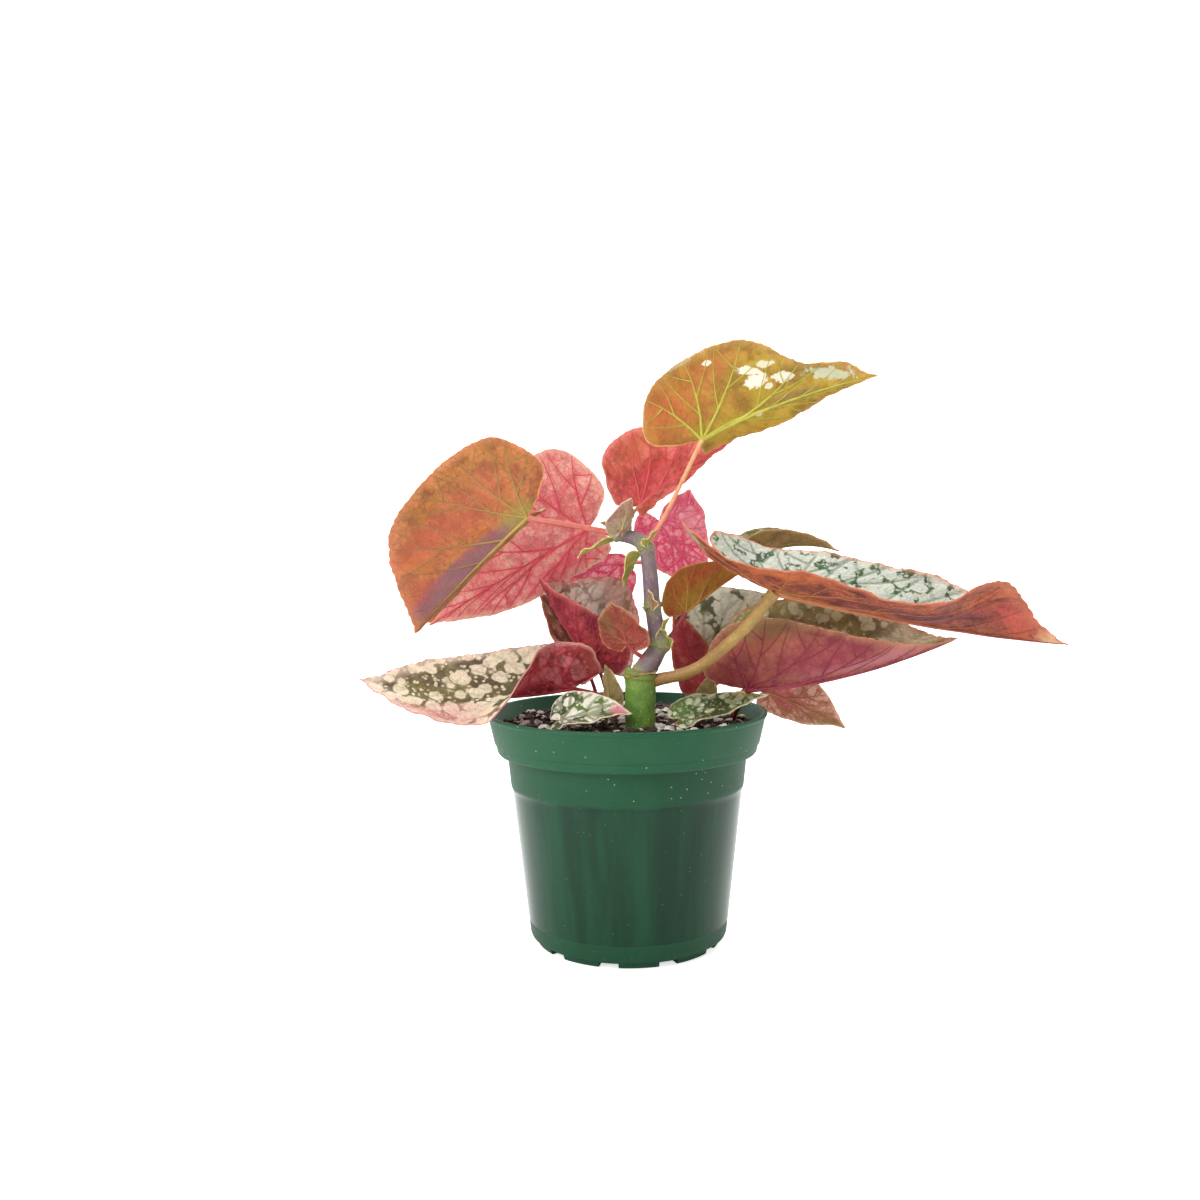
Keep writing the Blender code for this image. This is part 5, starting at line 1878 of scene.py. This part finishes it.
LEAVES = (
    Leaf(
        "leaf_top", (28, -22, 190.8), (89, -34, 211.5), -58,
        Half(6.5, 1, even(4), 10, 0.8, (0.5, 0.5), 1), Half(28, 18, (6, 6, 8, 24), 22, 0.8, (0.68, -0.55), 4),
        ((8, -15, 152), (15, -19, 164), (23, -21.5, 180)), OLIVE_TOP, Slot.OLIVE,
        droop=40, wave=1.2, waves=3.5, spokes=100, rings=54, vein_size=1.55, seed=1,
    ),
    Leaf(
        "leaf_top_rear", (5.6, 10, 168.2), (43, 20, 193.5), -64,
        Half(6, 2, veins=1), Half(27, 9, (4, 4, 6, 8), 14, veins=4),
        ((-2, -12.2, 156.8), (0, -4, 161)), RED_TOP,
        droop=26, wave=0.8, thick=(1.6, 1.3), spokes=84, rings=46, quilt=0.7, seed=2,
    ),
    Leaf(
        "leaf_left_large", (-35.8, -22, 163.2), (-76, -32, 122), 80,
        Half(35, 17, (6, 6, 6, 8), 14, 0.5, veins=4), Half(14, 7, (44, 50, 52, 40), 50, 0.8),
        ((-3.6, -12, 157), (-18, -16, 160)), OLIVE_LEFT, Slot.OLIVE,
        droop=22, wave=1.4, thick=(2.4, 1.8), spokes=104, rings=56, seed=3,
    ),
    Leaf(
        "leaf_left_rear", (-14.4, 6, 159), (-76, -2, 122.5), 84,
        Half(35, 13, even(4), 8, veins=4), Half(14, 5, even(4), 10, 0.7),
        ((-3, -12, 157.2), (-8, -4, 158)), SALMON,
        droop=16, wave=1, spokes=90, rings=50, quilt=0.9, seed=4,
    ),
    Leaf(
        "leaf_pink_rear", (14, 22, 161.6), (34, 30, 134.5), -90,
        Half(13, 8), Half(20, 4, veins=4), ((8.2, -14.5, 151), (9, 4, 155)), HOT_PINK, Slot.PINK,
        droop=30, wave=1, waves=5, spokes=64, rings=36, quilt=0.9, seed=5,
    ),
    Leaf(
        "leaf_young_top", (-1.4, -18, 158.6), (2.3, -23, 170), 0,
        Half(6, 3, even(20), veins=2), Half(6, 3, even(20), veins=2),
        ((-2.4, -12.2, 156.8), (-2.2, -16, 157.2)), YOUNG, Slot.SILVER,
        droop=10, thick=(1.4, 1.2), spokes=26, rings=14, seed=6,
    ),
    Leaf(
        "leaf_right_large", (53.6, -30, 135.9), (152, -46, 117.2), 2,
        Half(26, 32, (34, 30, 44, 20), 8, 0.8, veins=4),
        Half(26, 42, (8, 18, 17, 104), 8, 0.62, (0.78, 0.4), 4),
        ((5.4, -15, 101), (12, -16, 102.6), (26, -19, 107), (42, -25, 121)), RUST, Slot.OLIVE,
        droop=-8, tail=-40, wave=1.2, waves=4, thick=(5, 4), spokes=130, rings=64, quilt=0.9, seed=7,
    ),
    Leaf(
        "leaf_right_small", (48.8, 16, 147), (86, 22, 149.5), 0,
        Half(11, 5, (34, 34, 34, 24), 36), Half(10, 5, (34, 34, 34, 24), 36),
        ((10.1, -15, 129.4), (24, -2, 134), (40, 10, 140)), OLIVE_SMALL, Slot.OLIVE,
        droop=44, spokes=50, rings=28, seed=8,
    ),
    Leaf(
        "leaf_right_lower", (46.1, -8, 97.7), (119, -28, 118.5), 4,
        Half(34, 10, (40, 40, 46, 30), 50, 0.75, veins=4), Half(28, 15, (52, 50, 50, 34), 60, 1.3, veins=4),
        ((40.5, 8, 74), (41.5, 7.6, 84)), WINE,
        droop=-22, wave=0.8, thick=(2.8, 2.2), spokes=100, rings=52, vein_size=1.25, seed=9,
    ),
    Leaf(
        "leaf_right_droop", (56, 12, 94), (85, 2, 81), -78, Half(9, 3), Half(14, 8),
        ((40, 16, 74), (41, 16, 86), (48, 15, 95)), CREAM, Slot.PINK, droop=24, seed=10,
    ),
    Leaf(
        "leaf_low_left", (-21, -4, 98), (-97.5, -26, 105), -30,
        Half(20, 12, (88, 100, -2, 0), 20, 0.32), Half(25, 5, (6, 4, 4, 4), 10, 0.7, veins=4),
        ((-3, 8, 74), (-5, 5, 90), (-12, 0, 95)), SPOTTED, Slot.SPOTTED,
        droop=-34, wave=1, thick=(2.4, 1.9), spokes=104, rings=54, quilt=0.7, seed=11,
    ),
    Leaf(
        "leaf_centre_folded", (-10.9, 3, 106), (-32.4, -6, 141), 0,
        Half(16, 7, (26, 28, 36, 24), 44), Half(38, 15, (32, 36, 44, 26), 56, 0.7, veins=4),
        ((-6.4, 7, 74), (-6.6, 7, 88), (-8.6, 5.4, 98)), FOLDED,
        droop=-26, spokes=80, rings=44, quilt=0.6, seed=12,
    ),
    Leaf(
        "leaf_centre_small", (0.4, -19, 116.7), (-5, -28, 132.5), 0, Half(9, 3), Half(12, 4),
        ((9, -15, 109.6), (4, -17.5, 112.5)), SMALL_OLIVE, droop=10, spokes=40, rings=24, seed=13,
    ),
    Leaf(
        "leaf_centre_rear", (-16.5, 27, 104), (-36, 23, 134), -50,
        Half(13, 6, even(10), 10), Half(20, 8, (30, 30, 30, 20), 20), ((-12, 30, 74), (-12.4, 30, 90)),
        SMALL_RED, droop=10, seed=14,
    ),
    Leaf(
        "leaf_centre_pink", (-2, 24, 145), (-37, 20, 143), 80, Half(4, 3, veins=1), Half(16, 6),
        ((8.6, -14.6, 146), (5, 2, 146)), HOT_PINK, Slot.PINK, droop=10, seed=15,
    ),
    Leaf(
        "leaf_heart", (22.4, -8, 127), (48.5, 4, 144), -75, Half(7, 3, even(60), veins=1), Half(15, 8),
        ((11.8, -15, 116), (17, -13, 119)), AUTUMN, Slot.OLIVE, droop=16, spokes=52, rings=30, seed=16,
    ),
    Leaf(
        "leaf_silver", (31.1, 17, 113.6), (58.5, 13, 133), 78, Half(18, 5), Half(13, 8),
        ((24, 20, 74), (24.5, 20, 90), (28, 19, 105)), SILVERY, Slot.SILVER, droop=16, seed=17,
    ),
    Leaf(
        "leaf_dark", (28.6, 6, 98), (18.6, 6, 128), 80, Half(9, 3), Half(8, 3),
        ((30, 7, 74), (29.5, 6, 90)), SMALL_RED, droop=16, spokes=36, rings=22, seed=18,
    ),
    Leaf(
        "leaf_soil_right", (20.6, -16, 88.2), (54, -8, 95.5), 14, Half(8, 4, even(24)), Half(7, 3, even(-6)),
        ((17, -15.6, 76), (17.4, -15.6, 84)), DARK_SILVER, Slot.SILVER, droop=14, thick=(1.5, 1.3), seed=19,
    ),
    Leaf(
        "leaf_soil_left", (-24, -21, 88.4), (2, -26.5, 91.4), 14, Half(11, 5, even(34)), Half(7, 4, even(-4)),
        ((-27, -20, 76), (-26.8, -20, 84)), CREAM_SOIL, Slot.SILVER, droop=26, thick=(1.5, 1.3), seed=20,
    ),
    Leaf(
        "sheath_left", (-6.6, -12, 93), (-8, -14, 108), 0, Half(5, 2, even(30), veins=2),
        Half(5, 2, even(30), veins=2), ((-8, -9, 76), (-7.8, -9.4, 86)), PAPERY, Slot.SHEATH,
        droop=30, thick=(1.6, 1.4), spokes=28, rings=18, quilt=0.25, seed=21,
    ),
    Leaf(
        "sheath_right", (29, 0, 88.8), (33, -2, 103.2), -80, Half(5, 2, even(20), veins=2),
        Half(5, 2, even(20), veins=2), ((27.6, 1, 76), (28, 1, 84)), PAPERY, Slot.SHEATH,
        droop=30, thick=(1.6, 1.4), spokes=28, rings=18, quilt=0.25, seed=22,
    ),
)


def stipule(
    name: str, root: Place, base: Place, tip: Place, wide: float, finish: LeafFinish, seed: int
) -> Leaf:
    """One of the small dry or green scales at a node.

    Args:
        name: What it is called.
        root: Where it leaves the cane, in mm.
        base: Where its blade starts.
        tip: Where it ends.
        wide: Its half width.
        finish: Its colours.
        seed: Where its unevenness comes from.

    Returns:
        Its leaf, which stands for no solid.
    """
    half = Half(wide, wide * 0.4, even(26), veins=2)
    return Leaf(
        name, base, tip, 0, half, half, (root,), finish, Slot.SHEATH, droop=18, thick=(1.1, 0.9),
        spokes=24, rings=14, quilt=0.25, seed=seed, stands_in=False,
    )


STIPULES = (
    stipule("stipule_low", (12.3, -15, 116), (13, -16, 117.3), (15.7, -17, 125.9), 2.6, STIPULE, 31),
    stipule("stipule_low_small", (14, -15, 114), (15.6, -16.4, 115.6), (13, -18.6, 121.8), 1.8, STIPULE, 32),
    stipule("stipule_middle", (10, -16, 129), (9.9, -18.4, 129.6), (8.3, -19.4, 136.1), 2, TAN_STIPULE, 33),
    stipule("stipule_upper", (7.4, -15, 152), (7.6, -17.2, 152.7), (11.6, -18.4, 158), 2.3, STIPULE, 34),
    stipule("stipule_hanging", (6.6, -14.5, 150.6), (5.2, -13, 149), (-0.6, -10, 137), 4.4, STIPULE, 35),
    stipule(
        "stipule_end", (-3.6, -12.6, 157), (-4.2, -14.6, 157.4), (-9, -16.4, 161.4), 2.2, TAN_STIPULE, 36
    ),
    stipule(
        "stipule_end_long", (-3.6, -12, 155.6), (-5.2, -12.2, 154.4), (-18, -12.4, 148.6), 2.6, STIPULE, 37
    ),
)


@dataclass
class Studio:
    """The pale floor, the soft light and the camera, in metres unless named otherwise."""

    eye: Place = (0.0, -0.45, 0.1559)
    pitch: float = 3.09
    roll: float = 0.57
    yaw: float = -1.26
    lens: float = 35.07
    floor: float = 3.0
    floor_gap: float = 0.0002
    front_light: float = 0.38
    back_light: float = 2.1
    # Each lamp's name, place, aim, width and height, and power in watts.
    lamps: tuple[tuple[str, Place, Place, tuple[float, float], float], ...] = (
        ("key", (-0.55, -0.75, 0.75), (0.0, 0.0, 0.12), (0.5, 0.7), 9.5),
        ("left_strip", (-0.6, -0.42, 0.15), (0.0, 0.0, 0.05), (0.16, 0.6), 1.1),
        ("right_strip", (0.62, -0.3, 0.15), (0.0, 0.0, 0.05), (0.12, 0.6), 0.8),
        ("above", (0.1, 0.25, 0.95), (0.0, 0.0, 0.12), (0.8, 0.6), 4.0),
    )

    def camera(self) -> None:
        """The camera where the object was seen from."""
        pitch, yaw, roll = (math.radians(value) for value in (self.pitch, self.yaw, self.roll))
        ahead = Vector((math.sin(yaw) * math.cos(pitch), math.cos(yaw) * math.cos(pitch), -math.sin(pitch)))
        right = Vector((math.cos(yaw), -math.sin(yaw), 0.0))
        up = right.cross(ahead)
        across = right * math.cos(roll) - up * math.sin(roll)
        above = right * math.sin(roll) + up * math.cos(roll)
        data = bpy.data.cameras.new("camera")
        data.lens, data.sensor_width = self.lens, 36.0
        data.clip_start, data.clip_end = 0.01, 50.0
        camera = in_scene("camera", data)
        turn = Matrix((across, above, -ahead)).transposed()
        camera.matrix_world = Matrix.Translation(self.eye) @ turn.to_4x4()
        bpy.context.scene.camera = camera

    def lamp(self, name: str, place: Place, aim: Place, size: tuple[float, float], power: float) -> None:
        """A soft rectangular lamp.

        Args:
            name: What it is called.
            place: Where it hangs.
            aim: What it points at.
            size: Its width and height.
            power: Its power in watts.
        """
        data = bpy.data.lights.new(name, "AREA")
        data.shape, data.size, data.size_y = "RECTANGLE", size[0], size[1]
        data.energy = power
        lamp = in_scene(name, data)
        lamp.location = place
        lamp.rotation_mode = "QUATERNION"
        lamp.rotation_quaternion = (Vector(aim) - Vector(place)).to_track_quat("-Z", "Y")

    def lights(self) -> None:
        """An even white surround and a few large lamps."""
        world = bpy.data.worlds.new("surround")
        world.use_nodes = True
        wiring = Wiring(world.node_tree)
        seen = wiring.add("LightPath").outputs["Is Camera Ray"]
        back = world.node_tree.nodes["Background"]
        back.inputs["Color"].default_value = (1.0, 1.0, 1.0, 1.0)
        way = wiring.add("TexCoord").outputs["Generated"]
        behind = wiring.part_of(way, 1)
        strength = wiring.step(behind, -0.5, 0.95, self.front_light, self.back_light)
        wiring.fill(back.inputs["Strength"], wiring.sum("MAXIMUM", strength, seen))
        bpy.context.scene.world = world
        for lamp in self.lamps:
            self.lamp(*lamp)

    def ground(self) -> None:
        """The pale floor."""
        made, wiring, shader = begin_material("floor_white")
        place = wiring.place()
        mottle = wiring.effect(Effect.MOTTLE, {"Vector": place, "Scale": 4.0, "Softness": 0.3})
        tone = wiring.mix((0.9, 0.9, 0.9, 1.0), (0.92, 0.92, 0.92, 1.0), mottle["Patch"])
        wiring.fill(shader.inputs["Base Color"], tone)
        shader.inputs["Roughness"].default_value = 0.7
        shader.inputs["Emission Color"].default_value = (1.0, 1.0, 1.0, 1.0)
        seen = wiring.add("LightPath").outputs["Is Camera Ray"]
        wiring.fill(shader.inputs["Emission Strength"], wiring.step(seen, 0.0, 1.0, 0.12, 0.7))
        grid = bmesh.new()
        bmesh.ops.create_circle(grid, cap_ends=True, segments=96, radius=self.floor)
        mesh = bpy.data.meshes.new("floor")
        grid.to_mesh(mesh)
        grid.free()
        mesh.materials.append(made)
        floor = in_scene("floor", mesh)
        floor.location.z = -self.floor_gap

    def build(self) -> None:
        """The whole studio."""
        self.camera()
        self.lights()
        self.ground()
        view = bpy.context.scene.view_settings
        view.view_transform, view.look = "Standard", "None"


def main() -> None:
    """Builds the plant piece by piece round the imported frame."""
    logging.basicConfig(level=logging.INFO, format="%(message)s")
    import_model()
    Studio().build()
    pot = Pot()
    made = [pot.build(), *Soil(pot).build(), Cane().build()]
    made += [Blade(leaf).build() for leaf in (*LEAVES, *STIPULES)]
    for piece in made:
        LOG.info("%s: %d faces", piece.name, len(piece.data.polygons))


if __name__ == "__main__":
    main()
